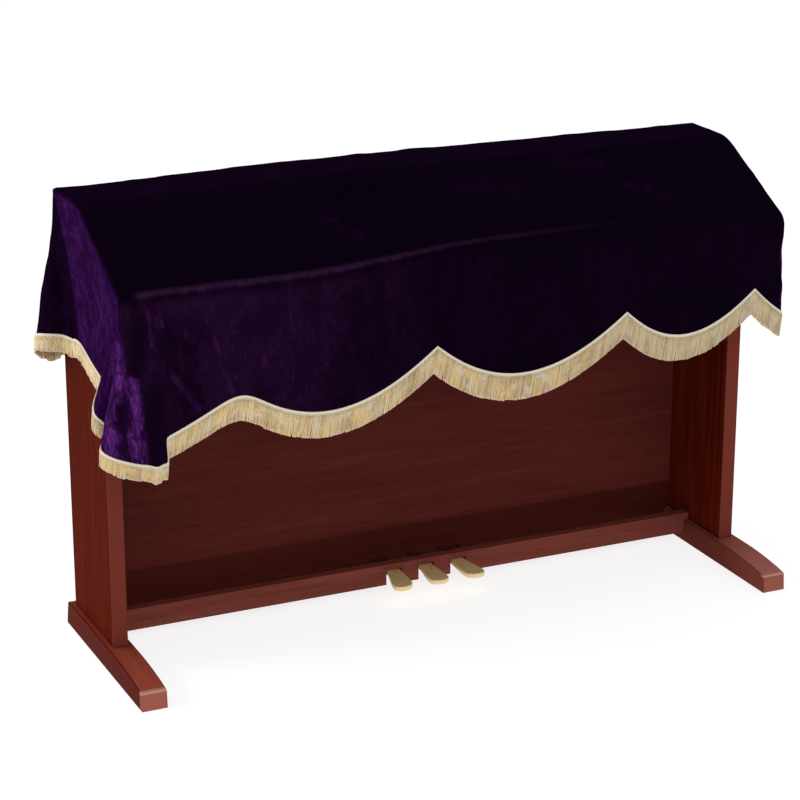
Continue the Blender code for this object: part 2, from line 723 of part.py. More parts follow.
def lock_stations(lengths, insets):
    """(column, share of the way to the next one, whether a lock starts here) along the tape."""
    margin = (1 - LOCK_FILL) / 2
    stations = []
    for column, length in enumerate(lengths):
        low = insets[column]
        room = length - low - insets[(column + 1) % len(lengths)]
        locks = max(1, round(room / LOCK_PITCH)) if room > LEAST_LOCK else 0
        stations.append((column, 0.0, False))
        for lock in range(locks):
            start = (low + room * (lock + margin) / locks) / length
            end = (low + room * (lock + 1 - margin) / locks) / length
            stations += [(column, start, True), (column, end, False)]
    return stations


def make_fringe(gold, columns, levels):
    """The trim: one tape round the whole hem, outside the cloth, with its locks fused to it."""
    hem = levels[-1]
    fringe = np.array([length for _, _, length in columns])
    up, along, flat, corner = hem_directions(levels)
    stations = lock_stations(np.linalg.norm(along, axis=1), corner_insets(along, flat))
    near = CLOTH / 2 + TAPE_GAP
    far = near + TAPE_THICKNESS
    plumb = np.array([0.0, 0.0, -1.0])
    points = []
    downs = []
    for column, share, _ in stations:
        after = (column + 1) % len(hem)
        base = hem[column] * (1 - share) + hem[after] * share
        rise = up[column] * (1 - share) + up[after] * share
        out = flat[column] if share else corner[column]
        for depth, height in ((far, 0.0), (near, 0.0), (near, TAPE_HEIGHT), (far, TAPE_HEIGHT)):
            points.append(base + out * depth + rise * height)
        length = fringe[column] * (1 - share) + fringe[after] * share
        downs.append((plumb * LOCK_PLUMB - rise * (1 - LOCK_PLUMB)) * (length - TAPE_HEIGHT))
    faces = []
    for spot, (_, _, is_lock) in enumerate(stations):
        after = (spot + 1) % len(stations)
        here = spot * 4
        there = after * 4
        for side in (1, 2, 3):
            other = (side + 1) % 4
            faces.append((here + side, here + other, there + other, there + side))
        if not is_lock:
            faces.append((here, here + 1, there + 1, there))
            continue
        down = (downs[spot] + downs[after]) / 2
        narrower = (points[there] - points[here]) * LOCK_TAPER
        tip = len(points)
        points.append((points[here] + points[here + 1]) / 2 + down + narrower)
        points.append((points[there] + points[there + 1]) / 2 + down - narrower)
        faces.append((here, there, tip + 1, tip))
        faces.append((there + 1, here + 1, tip, tip + 1))
        faces.append((here + 1, here, tip))
        faces.append((there, there + 1, tip + 1))
    add_object("fringe", mesh_from("fringe", points, faces, 30.0), gold)


def main():
    clear_scene()
    wood = make_material("mahogany", (0.13, 0.028, 0.018), 0.38)
    panel_wood = make_material("panel_mahogany", (0.075, 0.017, 0.014), 0.42)
    velvet = make_material("purple_velvet", (0.022, 0.004, 0.050), 0.85)
    gold = make_material("gold_fringe", (0.70, 0.52, 0.25), 0.60)
    brass = make_material("pedal_brass", (0.42, 0.30, 0.11), 0.35, 0.9)
    steel = make_material("bracket_steel", (0.30, 0.30, 0.31), 0.45, 0.9)
    make_feet(wood)
    make_legs(wood)
    make_rail_and_panel(wood, panel_wood)
    make_case(wood)
    make_pedals(brass)
    make_pedal_bracket(steel)
    points, faces, columns, levels = cover_surface()
    make_cloth(velvet, points, faces)
    make_fringe(gold, columns, levels)


main()
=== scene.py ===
# %% [markdown]
# # A velvet piano cover over a digital piano
#
# This lesson dresses a finished frame. The frame holds every hard part at its true size: two legs on
# their feet, a keyboard case, a back panel, a rail and three pedals. It also holds plain solids for
# the cover and its fringe, and those two are made again here, because a real cover is soft, creased
# and hairy in a way that a plain solid isn't.
#
# Everything is in metres, with Z up and the player's side towards -Y.

# %% Load the frame
import bpy
import math
import numpy as np
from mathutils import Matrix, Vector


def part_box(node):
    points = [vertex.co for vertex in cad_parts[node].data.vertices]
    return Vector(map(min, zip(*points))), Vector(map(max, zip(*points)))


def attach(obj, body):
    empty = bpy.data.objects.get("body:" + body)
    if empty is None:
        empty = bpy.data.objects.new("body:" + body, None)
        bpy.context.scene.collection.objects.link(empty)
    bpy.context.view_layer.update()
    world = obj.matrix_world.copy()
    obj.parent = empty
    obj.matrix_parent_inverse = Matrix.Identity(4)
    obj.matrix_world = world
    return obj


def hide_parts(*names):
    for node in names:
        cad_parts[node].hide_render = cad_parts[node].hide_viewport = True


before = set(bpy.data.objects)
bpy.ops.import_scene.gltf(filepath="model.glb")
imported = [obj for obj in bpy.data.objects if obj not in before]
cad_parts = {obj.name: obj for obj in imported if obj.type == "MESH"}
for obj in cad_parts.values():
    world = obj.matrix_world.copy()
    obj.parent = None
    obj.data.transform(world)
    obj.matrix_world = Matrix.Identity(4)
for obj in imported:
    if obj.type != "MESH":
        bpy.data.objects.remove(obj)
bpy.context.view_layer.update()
CARRIER = "covered_piano"

# %% [markdown]
# ## Helpers for meshes
#
# A surface worked out with numpy is an array of points and an array of faces. Blender takes both in
# one call each, which is far faster than adding points one by one. Each point can also carry a
# vector called "lay": where that point was in the flat cloth, or how far along and down a yarn it
# is. Materials read it, so a pattern follows the cloth into its folds instead of cutting through it.

# %% A mesh from arrays
def mesh_piece(name, points, faces, materials, lay=None):
    """One smooth object at the origin, made from an array of points and an array of faces."""
    mesh = bpy.data.meshes.new(name)
    mesh.from_pydata(points.tolist(), [], faces)
    for material in materials:
        mesh.materials.append(material)
    if lay is not None:
        carried = mesh.attributes.new("lay", "FLOAT_VECTOR", "POINT")
        carried.data.foreach_set("vector", np.ascontiguousarray(lay, np.float32).ravel())
    mesh.shade_smooth()
    mesh.update()
    piece = bpy.data.objects.new(name, mesh)
    bpy.context.scene.collection.objects.link(piece)
    print(f"{name}: {len(mesh.vertices)} points, {len(mesh.polygons)} faces")
    return piece


def unit(vectors):
    """Every vector divided by its own length."""
    return vectors / np.maximum(np.linalg.norm(vectors, axis=-1, keepdims=True), 1e-12)


def eased(value, low, high):
    """0 below low, 1 above high and a smooth step, 3s² - 2s³, between them."""
    share = np.clip((np.asarray(value, float) - low) / (high - low), 0.0, 1.0)
    return share * share * (3 - 2 * share)


# %% [markdown]
# ## Helpers for materials: arithmetic
#
# A material is a graph of nodes, and long graphs are hard to read as code. Here one small class wraps
# an output socket, so that `1 - mask * 0.3` adds the Math nodes by itself.

# %% Arithmetic on sockets
class Flow:
    """The output of a node, with arithmetic that adds Math nodes to its tree."""

    def __init__(self, tree, socket):
        self.tree = tree
        self.socket = socket

    def join(self, operation, first, second=None):
        node = self.tree.nodes.new("ShaderNodeMath")
        node.operation = operation
        for spot, value in enumerate((first, second)):
            if isinstance(value, Flow):
                self.tree.links.new(value.socket, node.inputs[spot])
            elif value is not None:
                node.inputs[spot].default_value = value
        return Flow(self.tree, node.outputs[0])

    def sine(self):
        return self.join("SINE", self)

    def size(self):
        return self.join("ABSOLUTE", self)


# Python calls __add__ for flow + number and __radd__ for number + flow, so each gets a method.
for sign, operation in {"add": "ADD", "sub": "SUBTRACT", "mul": "MULTIPLY"}.items():
    setattr(Flow, f"__{sign}__", lambda one, two, kind=operation: one.join(kind, one, two))
    setattr(Flow, f"__r{sign}__", lambda one, two, kind=operation: one.join(kind, two, one))

# %% [markdown]
# ## Helpers for materials: one material
#
# Velvet, gold yarn, stained wood and metal all start from the same shader and differ in the masks
# that feed it. So one class holds a material and adds any node, and has short names for what every
# finish here needs: noise, a smooth step, colours laid over each other, and relief.

# %% A material being built
class Finish:
    """One material: its node tree, its shader and the method that adds any node."""

    def __init__(self, name, **constants):
        self.material = bpy.data.materials.new(name)
        self.material.use_nodes = True
        self.tree = self.material.node_tree
        self.shader = self.tree.nodes["Principled BSDF"]
        for key, value in constants.items():
            self.shader.inputs[key.replace("_", " ")].default_value = value

    def node(self, kind, settings=None, values=None, out=0):
        """Adds a node: first its settings, then its inputs, by name or number."""
        node = self.tree.nodes.new("ShaderNode" + kind)
        for key, value in (settings or {}).items():
            setattr(node, key, value)
        for key, value in (values or {}).items():
            if isinstance(value, Flow):
                self.tree.links.new(value.socket, node.inputs[key])
            else:
                node.inputs[key].default_value = value
        return Flow(self.tree, node.outputs[out])

    def lay(self):
        """The place in the flat cloth, or along a yarn, that each point carries."""
        return self.node("Attribute", {"attribute_name": "lay"}, out=1)

    def place(self):
        """The place on the object, in metres."""
        return self.node("TexCoord", out=3)

    def parts(self, vector):
        """The three numbers of a vector."""
        first = self.node("SeparateXYZ", values={0: vector})
        outputs = first.socket.node.outputs
        return [Flow(self.tree, outputs[spot]) for spot in range(3)]

    def cloud(self, vector, scale, detail=3.0, rough=0.5, warp=0.0, shift=(0.0, 0.0, 0.0)):
        """Noise from 0 to 1. Scale is about how many lumps there are to the metre, either one
        number or one for each axis, which draws the lumps out into streaks."""
        if isinstance(scale, tuple):
            values = {0: vector, 1: scale, 2: shift}
            vector = self.node("VectorMath", {"operation": "MULTIPLY_ADD"}, values)
            scale = 1.0
        values = {"Vector": vector, "Scale": scale, "Detail": detail, "Roughness": rough}
        return self.node("TexNoise", values={**values, "Distortion": warp})

    def band(self, value, low, high, start=0.0, end=1.0):
        """A smooth step of a number: start below low, end above high."""
        settings = {"interpolation_type": "SMOOTHSTEP"}
        values = {0: value, 1: low, 2: high, 3: start, 4: end}
        return self.node("MapRange", settings, values)

    def fade(self, value, low, high):
        """A smooth step down: 1 below low, 0 above high."""
        return self.band(value, low, high, 1.0, 0.0)

    def blend(self, share, first, second):
        """Two colours mixed by a share of the second."""
        settings = {"data_type": "RGBA", "clamp_factor": True}
        first = (*first, 1.0) if isinstance(first, tuple) else first
        second = (*second, 1.0) if isinstance(second, tuple) else second
        return self.node("Mix", settings, {0: share, 6: first, 7: second}, out=2)

    def coats(self, tone, *layers):
        """A colour under coats of others. Each layer is the share it covers and its colour."""
        for share, colour in layers:
            tone = self.blend(share, tone, colour)
        return tone

    def feed(self, name, flow):
        self.tree.links.new(flow.socket, self.shader.inputs[name])

    def done(self, tone, rough, height, distance, strength):
        """Feeds colour, roughness and fine relief, where height from 0 to 1 stands for this many
        metres, and gives back the material."""
        self.feed("Base Color", tone)
        self.feed("Roughness", rough)
        values = {"Height": height, "Distance": distance, "Strength": strength}
        self.feed("Normal", self.node("Bump", values=values))
        return self.material


# %% [markdown]
# ## The camera
#
# A long lens from the left and a little above gives a calm catalogue view with nearly parallel
# edges. A camera looks along its own -Z, so tipping it by 90° minus the pitch points it at the
# horizon and then down, and turning it by minus the azimuth swings it to the right.

# %% Camera
CAMERA_PLACE = (-1.990, -4.186, 2.000)
CAMERA_AZIMUTH = 24.65
CAMERA_PITCH = 18.65
LENS = 112.6

lens = bpy.data.cameras.new("studio_camera")
lens.lens = LENS
lens.sensor_width = 36.0
camera = bpy.data.objects.new("studio_camera", lens)
camera.location = CAMERA_PLACE
camera.rotation_euler = (math.radians(90.0 - CAMERA_PITCH), 0.0, math.radians(-CAMERA_AZIMUTH))
bpy.context.scene.collection.objects.link(camera)
bpy.context.scene.camera = camera
print("camera at", CAMERA_PLACE, "lens", LENS)

# %% [markdown]
# ## The cover: what it lies on
#
# The cover is one piece of velvet laid over the keyboard case. It touches the case on the top and
# on the sloping fall, and from the case's edges it hangs free. So its sizes start from the case's
# own box, and the rest is a side view: flat top, slope, rounded nose.

# %% Sizes of the cloth on the case
case_low, case_high = (np.array(corner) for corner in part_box("keyboard_case"))
CLOTH = 0.002
STAND_OFF = 0.003
HALF_X = case_high[0] + STAND_OFF
BACK_Y = case_high[1] + STAND_OFF
FRONT_Y = case_low[1] - STAND_OFF
TOP_Z = case_high[2] + STAND_OFF
BREAK_Y = 0.059
NOSE_Z = 0.769
BACK_RADIUS = 0.012
BREAK_RADIUS = 0.110
NOSE_RADIUS = 0.030
SEAT_DROP = 0.0017
SEAT_MARGINS = (0.020, 0.060)
CROWN = 0.006
CROWN_X = -0.20
CROWN_BACK = (-0.006, 0.004)
CROWN_START_Z = 0.850
print("cloth over the case:", 2 * HALF_X, BACK_Y - FRONT_Y, TOP_Z)

# %% [markdown]
# ## The cover: its hem
#
# How a cloth hangs is told best by its lower edge. Each table row is one thread: where it leaves
# the case and where it ends at the trim's top line. The front has wide scallops that meet in
# points, the sides are swept back, and the spare cloth of each corner hangs in upright folds.
# A simulation could drop a cloth over the case, but it would not land in these folds, so the hem's
# places are given, and the cloth in between is worked out from them.

# %% Tables of the hem
FRONT_ROWS = np.array([
    # edge_x, hem_x,  out,    hem_z,  sag,   fringe, cuts
    (-0.685, -0.668, 0.048, 0.473, -0.003, 0.030, 2),
    (-0.658, -0.639, 0.042, 0.460, -0.002, 0.031, 2),
    (-0.638, -0.613, 0.026, 0.461, 0.000, 0.032, 2),
    (-0.626, -0.610, 0.010, 0.504, 0.000, 0.043, 1),
    (-0.585, -0.580, 0.008, 0.515, 0.001, 0.046, 3),
    (-0.480, -0.480, 0.008, 0.563, 0.000, 0.048, 1),
    (-0.448, -0.448, 0.008, 0.565, 0.074, 0.048, 10),
    (-0.071, -0.071, 0.008, 0.605, 0.084, 0.054, 11),
    (0.333, 0.333, 0.008, 0.621, 0.068, 0.053, 8),
    (0.621, 0.621, 0.007, 0.633, 0.004, 0.053, 2),
    (0.685, 0.688, 0.004, 0.577, 0.000, 0.050, 0),
])
BACK_ROWS = np.array([
    # edge_x, out,    hem_z, sag,   fringe
    (-0.685, 0.004, 0.600, 0.000, 0.045),
    (-0.585, 0.006, 0.620, 0.010, 0.050),
    (-0.448, 0.007, 0.660, 0.062, 0.052),
    (-0.071, 0.008, 0.662, 0.064, 0.052),
    (0.333, 0.008, 0.660, 0.050, 0.052),
    (0.621, 0.007, 0.655, 0.000, 0.052),
    (0.685, 0.004, 0.610, 0.000, 0.045),
])
LEFT_ROWS = np.array([
    # edge_y, hem_y,  out,    hem_z, fringe
    (-0.163, -0.080, 0.012, 0.606, 0.036),
    (-0.060, -0.030, 0.009, 0.612, 0.036),
    (0.060, 0.040, 0.008, 0.632, 0.036),
    (0.120, 0.074, 0.007, 0.630, 0.036),
    (0.203, 0.094, 0.006, 0.624, 0.036),
])
RIGHT_ROWS = np.array([
    # edge_y, hem_y,  out,    hem_z, fringe
    (-0.163, -0.042, 0.006, 0.594, 0.046),
    (-0.147, -0.027, 0.007, 0.602, 0.045),
    (-0.060, -0.016, 0.008, 0.612, 0.044),
    (0.060, 0.055, 0.009, 0.634, 0.042),
    (0.120, 0.100, 0.007, 0.632, 0.042),
    (0.203, 0.128, 0.006, 0.624, 0.040),
])
# The folds of the four corners, measured outwards from the case's corner, in walking order round
# the cover with the front first and turning to the right.
FOLD_FRONT_RIGHT = (
    # out_x, out_y,  hem_z, fringe
    (0.012, -0.012, 0.566, 0.046),
    (0.030, -0.045, 0.556, 0.044),
    (0.046, -0.082, 0.552, 0.044),
    (0.042, -0.098, 0.556, 0.044),
    (0.024, -0.090, 0.566, 0.044),
    (0.012, -0.106, 0.580, 0.046),
)
FOLD_BACK_RIGHT = (
    # out_x, out_y,  hem_z, fringe
    (0.012, -0.062, 0.615, 0.040),
    (0.040, -0.046, 0.602, 0.040),
    (0.060, -0.020, 0.596, 0.040),
    (0.044, 0.004, 0.592, 0.040),
    (0.016, 0.010, 0.598, 0.042),
)
FOLD_BACK_LEFT = (
    # out_x, out_y,  hem_z, fringe
    (0.016, 0.008, 0.590, 0.042),
    (0.042, -0.006, 0.600, 0.036),
    (0.0612, -0.048, 0.624, 0.033),
    (0.046, -0.074, 0.629, 0.033),
    (0.018, -0.086, 0.627, 0.034),
)
FOLD_FRONT_LEFT = (
    # out_x, out_y,  hem_z, fringe
    (0.018, -0.070, 0.594, 0.034),
    (0.035, -0.054, 0.571, 0.033),
    (0.041, -0.038, 0.551, 0.032),
    (0.029, -0.028, 0.538, 0.031),
    (0.017, -0.018, 0.525, 0.030),
    (0.032, -0.006, 0.512, 0.030),
    (0.047, 0.010, 0.499, 0.030),
    (0.028, 0.032, 0.486, 0.030),
)
print("hem rows:", len(FRONT_ROWS), len(BACK_ROWS), len(LEFT_ROWS), len(RIGHT_ROWS))

# %% [markdown]
# ## The cover: its side view
#
# The side view is a path with rounded corners. Its points are spread evenly over its length plus a
# share of its turning, so that they crowd together where the cloth bends and thin out where it
# lies flat.

# %% Side view of the cloth
PROFILE_STEP = 0.0062
TURN_WEIGHT = 0.020
SAME_POINT = 1e-9
LEAST_FALL = 1e-4
SEATED_SHARES = (0.0, 0.33, 0.67, 1.0)  # of the slope: it is seated between the middle two


def rounded_path(corners, radii, steps=24):
    """Straight runs joined by arcs. An arc's centre is radius / sin(half angle) along the bisector."""
    path = [corners[:1]]
    for before, corner, after, radius in zip(corners, corners[1:], corners[2:], radii):
        towards = unit(before - corner)
        away = unit(after - corner)
        half = math.acos(towards @ away) / 2
        reach = radius / math.tan(half)
        centre = corner + unit(towards + away) * radius / math.sin(half)
        start = corner + towards * reach - centre
        end = corner + away * reach - centre
        sweep = math.atan2(start[0] * end[1] - start[1] * end[0], start @ end)
        turn = sweep * np.linspace(0.0, 1.0, steps + 1)
        across = start[0] * np.cos(turn) - start[1] * np.sin(turn)
        upward = start[0] * np.sin(turn) + start[1] * np.cos(turn)
        path.append(centre + np.column_stack([across, upward]))
    path.append(corners[-1:])
    return np.concatenate(path)


def cloth_profile():
    """Rows (y, z, seated, length) from the back edge over the case to the front edge. Seated is 1
    in the middle third of the slope, where the cloth lies on the case, and 0 at the slope's ends."""
    back = [(BACK_Y, TOP_Z - BACK_RADIUS), (BACK_Y, TOP_Z)]
    front = [(BREAK_Y, TOP_Z), (FRONT_Y, NOSE_Z), (FRONT_Y, NOSE_Z - NOSE_RADIUS)]
    path = rounded_path(np.array(back + front), (BACK_RADIUS, BREAK_RADIUS, NOSE_RADIUS))
    runs = np.diff(path, axis=0)
    keep = np.linalg.norm(runs, axis=1) > SAME_POINT
    path = np.concatenate([path[:1], path[1:][keep]])
    runs = runs[keep]
    steps = np.linalg.norm(runs, axis=1)
    heading = np.unwrap(np.arctan2(runs[:, 1], runs[:, 0]))
    turning = np.concatenate([[0.0], np.abs(np.diff(heading))])
    length = np.concatenate([[0.0], np.cumsum(steps)])
    pace = np.concatenate([[0.0], np.cumsum(steps + TURN_WEIGHT * turning)])
    even = np.linspace(0.0, pace[-1], int(pace[-1] / PROFILE_STEP) + 1)
    spot = np.interp(even, pace, length)
    slope = int(np.argmax(steps[1:-1] * (runs[1:-1, 1] < -LEAST_FALL))) + 1
    stretch = length[slope] + steps[slope] * np.array(SEATED_SHARES)
    seated = np.interp(spot, stretch, [0, 1, 1, 0])
    y = np.interp(spot, length, path[:, 0])
    z = np.interp(spot, length, path[:, 1])
    return np.column_stack([y, z, seated, spot])


profile = cloth_profile()
print("side view:", len(profile), "rows over", round(profile[-1, 3], 4), "m of cloth")

# %% [markdown]
# ## The cover: its threads
#
# A thread runs from the edge of the case to the hem. The tables give a few of them, and the rest
# are worked out between the rows: along a parabola under the chord where the hem is scalloped, and
# along a smooth curve through the rows where it is folded.

# %% Threads of the skirt
DENSER = 5
SKEW = 0.11
FOLD_CUTS = 10


def scallop(share):
    """4s(1 - s), a parabola of height 1, times 1 + SKEW (1 - 2s), which moves its foot to the left."""
    return 4 * share * (1 - share) * (1 + SKEW * (1 - 2 * share))


def front_threads():
    """Rows (edge, hem, fringe) from left to right. A scallop hangs sag times that under its chord."""
    cuts = np.maximum(FRONT_ROWS[:-1, 6].astype(int), 1) * DENSER
    places = [row + np.arange(count) / count for row, count in enumerate(cuts)]
    places = np.append(np.concatenate(places), len(FRONT_ROWS) - 1)
    columns = [np.interp(places, np.arange(len(FRONT_ROWS)), column) for column in FRONT_ROWS.T]
    edge_x, hem_x, out, hem_z, _, fringe, _ = columns
    share = places % 1.0
    sag = FRONT_ROWS[places.astype(int), 4] * scallop(share)
    level = np.full_like(edge_x, NOSE_Z - NOSE_RADIUS)
    edge = np.column_stack([edge_x, np.full_like(edge_x, FRONT_Y), level])
    hem = np.column_stack([hem_x, FRONT_Y - out, hem_z - sag])
    return np.column_stack([edge, hem, fringe])


def back_threads(widths):
    """The same along the back, from right to left."""
    x = widths[::-1]
    out, hem_z, fringe = (np.interp(x, BACK_ROWS[:, 0], BACK_ROWS[:, spot]) for spot in (1, 2, 4))
    row = np.clip(np.searchsorted(BACK_ROWS[:, 0], x) - 1, 0, len(BACK_ROWS) - 2)
    share = (x - BACK_ROWS[row, 0]) / (BACK_ROWS[row + 1, 0] - BACK_ROWS[row, 0])
    sag = BACK_ROWS[row, 3] * scallop(share)
    level = np.full_like(x, TOP_Z - BACK_RADIUS)
    edge = np.column_stack([x, np.full_like(x, BACK_Y), level])
    return np.column_stack([edge, x, BACK_Y + out, hem_z - sag, fringe])


def side_threads(rows, side, points):
    """The threads that hang from each point of the side view, on one side."""
    y = points[:, 0]
    hem_y, out, hem_z, fringe = (np.interp(y, rows[:, 0], rows[:, spot]) for spot in (1, 2, 3, 4))
    edge = np.column_stack([np.full_like(y, side * HALF_X), points[:, :2]])
    return np.column_stack([edge, side * (HALF_X + out), hem_y, hem_z, fringe])


def curve_through(rows, cuts):
    """Catmull-Rom: between b and c, with a and d beyond them, at share t, half of
    2b + (c - a)t + (2a - 5b + 4c - d)t² + (3b - a - 3c + d)t³."""
    a, b, c, d = rows[:-3, None], rows[1:-2, None], rows[2:-1, None], rows[3:, None]
    t = (np.arange(cuts) / cuts)[None, :, None]
    curve = 2 * b + (c - a) * t + (2 * a - 5 * b + 4 * c - d) * t**2 + (3 * b - a - 3 * c + d) * t**3
    return curve.reshape(-1, rows.shape[1]) / 2


def fold_threads(rows, corner, signs, before, after):
    """The folds of one corner, whose threads all start from the corner of the case."""
    placed = np.array(rows) * [signs[0], signs[1], 1, 1] + [corner[0], corner[1], 0, 0]
    path = np.concatenate([placed[:1], [before[3:]], placed, [after[3:]], placed[-1:]])
    curve = curve_through(path, FOLD_CUTS)[1:]
    return np.column_stack([np.tile(corner, (len(curve), 1)), curve])


front = front_threads()
widths = front[:, 0]
back = back_threads(widths)
inner = profile[1:-1]
right = side_threads(RIGHT_ROWS, 1, inner[::-1])
left = side_threads(LEFT_ROWS, -1, inner)
low_z, high_z = NOSE_Z - NOSE_RADIUS, TOP_Z - BACK_RADIUS
corners = [(HALF_X, FRONT_Y, low_z), (HALF_X, BACK_Y, high_z)]
corners += [(-HALF_X, BACK_Y, high_z), (-HALF_X, FRONT_Y, low_z)]
folds = [
    fold_threads(FOLD_FRONT_RIGHT, corners[0], (1, -1), front[-1], right[0]),
    fold_threads(FOLD_BACK_RIGHT, corners[1], (1, 1), right[-1], back[0]),
    fold_threads(FOLD_BACK_LEFT, corners[2], (-1, 1), back[-1], left[0]),
    fold_threads(FOLD_FRONT_LEFT, corners[3], (-1, -1), left[-1], front[0]),
]
groups = [front, folds[0], right, folds[1], back, folds[2], left, folds[3]]
threads = np.concatenate(groups)
print("threads:", [len(group) for group in groups], "in all", len(threads))

# %% [markdown]
# ## The cover: softening the hem
#
# Straight lines between table rows meet in faint corners that no cloth has. A few passes that
# average each thread with its neighbours round them off. The points where two scallops meet are
# sewn sharp, so those threads stay as they are.

# %% Rounded hem
CUSPS = (-0.071, 0.333, 0.621)  # where scallops meet, in front and behind
BACK_CUSP = -0.448
CRISP_SPAN = (-0.655, -0.600)  # the front's left fold, softened by fewer passes
CRISP_PASSES = 2
SAME_PLACE = 1e-6
SOFTENING = 12
TAPE_HEIGHT = 0.008

edges = threads[:, :3]
hems = threads[:, 3:6].copy()
fringe_length = threads[:, 6].copy()
on_front = np.arange(len(threads)) < len(front)
on_back = (edges[:, 1] > BACK_Y - SAME_PLACE) & (np.abs(edges[:, 0]) < HALF_X - SAME_PLACE)
held = on_back & (np.abs(edges[:, 0] - BACK_CUSP) < SAME_PLACE)
for cusp in CUSPS:
    held |= (np.abs(edges[:, 0] - cusp) < SAME_PLACE) & (on_front | on_back)
crisp = on_front & (edges[:, 0] > CRISP_SPAN[0]) & (edges[:, 0] < CRISP_SPAN[1])
for passed in range(SOFTENING):
    mean = 0.25 * np.roll(hems, 1, axis=0) + 0.5 * hems + 0.25 * np.roll(hems, -1, axis=0)
    still = held | (crisp & (passed >= CRISP_PASSES))
    hems = np.where(still[:, None], hems, mean)
hems[:, 2] -= TAPE_HEIGHT
print("hem:", round(float(np.linalg.norm(np.diff(hems, axis=0), axis=1).sum()), 3), "m long")

# %% [markdown]
# ## The cover: from the edge down to the hem
#
# A fold is round where it starts under the corner and sharpens on its way down. So high on the
# skirt each thread aims at an average of its neighbours' hem points, and lower down at its own.
# The front and the back hang straight at first and swing out late.

# %% Surface of the skirt and the top
LEVELS = 34
FOLD_START = 0.08
FOLD_FULL = 0.70
FOLD_REACH = 7 * DENSER
FLARE_POWER = 1.5
CORNER_FADE = 0.030


def skirt_levels():
    """Points of every thread at every level: edge + (target - edge) s, where the target goes from
    the soft hem to the crisp one, and y on the front and back goes with s to FLARE_POWER."""
    shifts = np.arange(-FOLD_REACH, FOLD_REACH + 1)
    weights = 1 - np.abs(shifts) / (FOLD_REACH + 1)
    around = (np.arange(len(hems))[:, None] + shifts) % len(hems)
    soft = (hems[around] * weights[:, None]).sum(axis=1) / weights.sum()
    folded = eased(np.abs(edges[:, 0]), HALF_X - CORNER_FADE, HALF_X)[:, None]
    share = np.linspace(0.0, 1.0, LEVELS + 1)[1:, None, None]
    crisp = eased(share, FOLD_START, FOLD_FULL)
    target = hems + (soft - hems) * (1 - crisp) * folded
    target[..., 2] = hems[:, 2]
    levels = edges + (target - edges) * share
    flare = (target - edges)[..., 1] * (share**FLARE_POWER - share)[..., 0]
    levels[..., 1] += flare * (1 - folded[:, 0])
    return levels


def top_grid():
    """Rows by widths over the case: settled on the slope and a little crowned along the top."""
    y, z, seated, _ = (column[:, None] for column in profile.T)
    x = widths[None, :]
    reach = HALF_X + np.where(x < CROWN_X, CROWN_X, -CROWN_X)
    hump = np.cos(math.pi * (x - CROWN_X) / (2 * reach)) ** 2
    crown = CROWN * hump * eased(z, CROWN_START_Z, TOP_Z) * eased(BACK_Y - y, *CROWN_BACK)
    settled = SEAT_DROP * seated * eased(HALF_X - np.abs(x), *SEAT_MARGINS)
    fall_y, fall_z = FRONT_Y - BREAK_Y, NOSE_Z - TOP_Z
    tilt = np.array([fall_z, -fall_y]) / math.hypot(fall_y, fall_z)
    moved = (x, y - tilt[0] * settled, z + crown - tilt[1] * settled)
    return np.stack(np.broadcast_arrays(*moved), axis=-1)


levels = skirt_levels()
grid = top_grid()
ROWS, COLS = grid.shape[:2]
COUNT = len(threads)
print("cloth grid:", ROWS, "by", COLS, "and a skirt of", LEVELS, "by", COUNT)

# %% [markdown]
# ## The cover: one mesh
#
# The top is a grid, and the skirt is a strip that goes all the way round it. The first ring of the
# skirt joins the rim of the grid. At a corner all the folds start from one point, so there the
# faces are triangles.

# %% Faces of the cloth
def strip(first, second):
    """Four-sided faces between two rings of the same length, closed round."""
    after = np.roll(np.arange(len(first)), -1)
    return np.column_stack([first, second, second[after], first[after]])


def grid_faces(rows, cols, start=0):
    """Four-sided faces of a grid whose points are numbered row by row."""
    spot = start + np.arange(rows - 1)[:, None] * cols + np.arange(cols - 1)
    return np.stack([spot, spot + cols, spot + cols + 1, spot + 1], axis=-1).reshape(-1, 4)


number = np.arange(ROWS * COLS).reshape(ROWS, COLS)
rim = [number[-1], np.full(len(folds[0]), number[-1, -1]), number[-2:0:-1, -1]]
rim += [np.full(len(folds[1]), number[0, -1]), number[0, ::-1]]
rim += [np.full(len(folds[2]), number[0, 0]), number[1:-1, 0]]
rim += [np.full(len(folds[3]), number[-1, 0])]
rings = [np.concatenate(rim)]
rings += [ROWS * COLS + COUNT * level + np.arange(COUNT) for level in range(LEVELS)]
quads = [grid_faces(ROWS, COLS)] + [strip(*pair) for pair in zip(rings, rings[1:])]
quads = np.concatenate(quads)
points = np.concatenate([grid.reshape(-1, 3), levels.reshape(-1, 3)])
print("faces:", len(quads))

# %% [markdown]
# ## The cover: where each point lay in the flat cloth
#
# Before it was hung, the cover lay flat on a table. A point's place there is its width and its
# distance from the back edge of the case, measured along the cloth. At a corner the folds open out
# into a fan of a quarter turn.

# %% Flat places
DRIFT_SHARE = 0.5  # of a thread's sideways run on the front that counts in the flat cloth


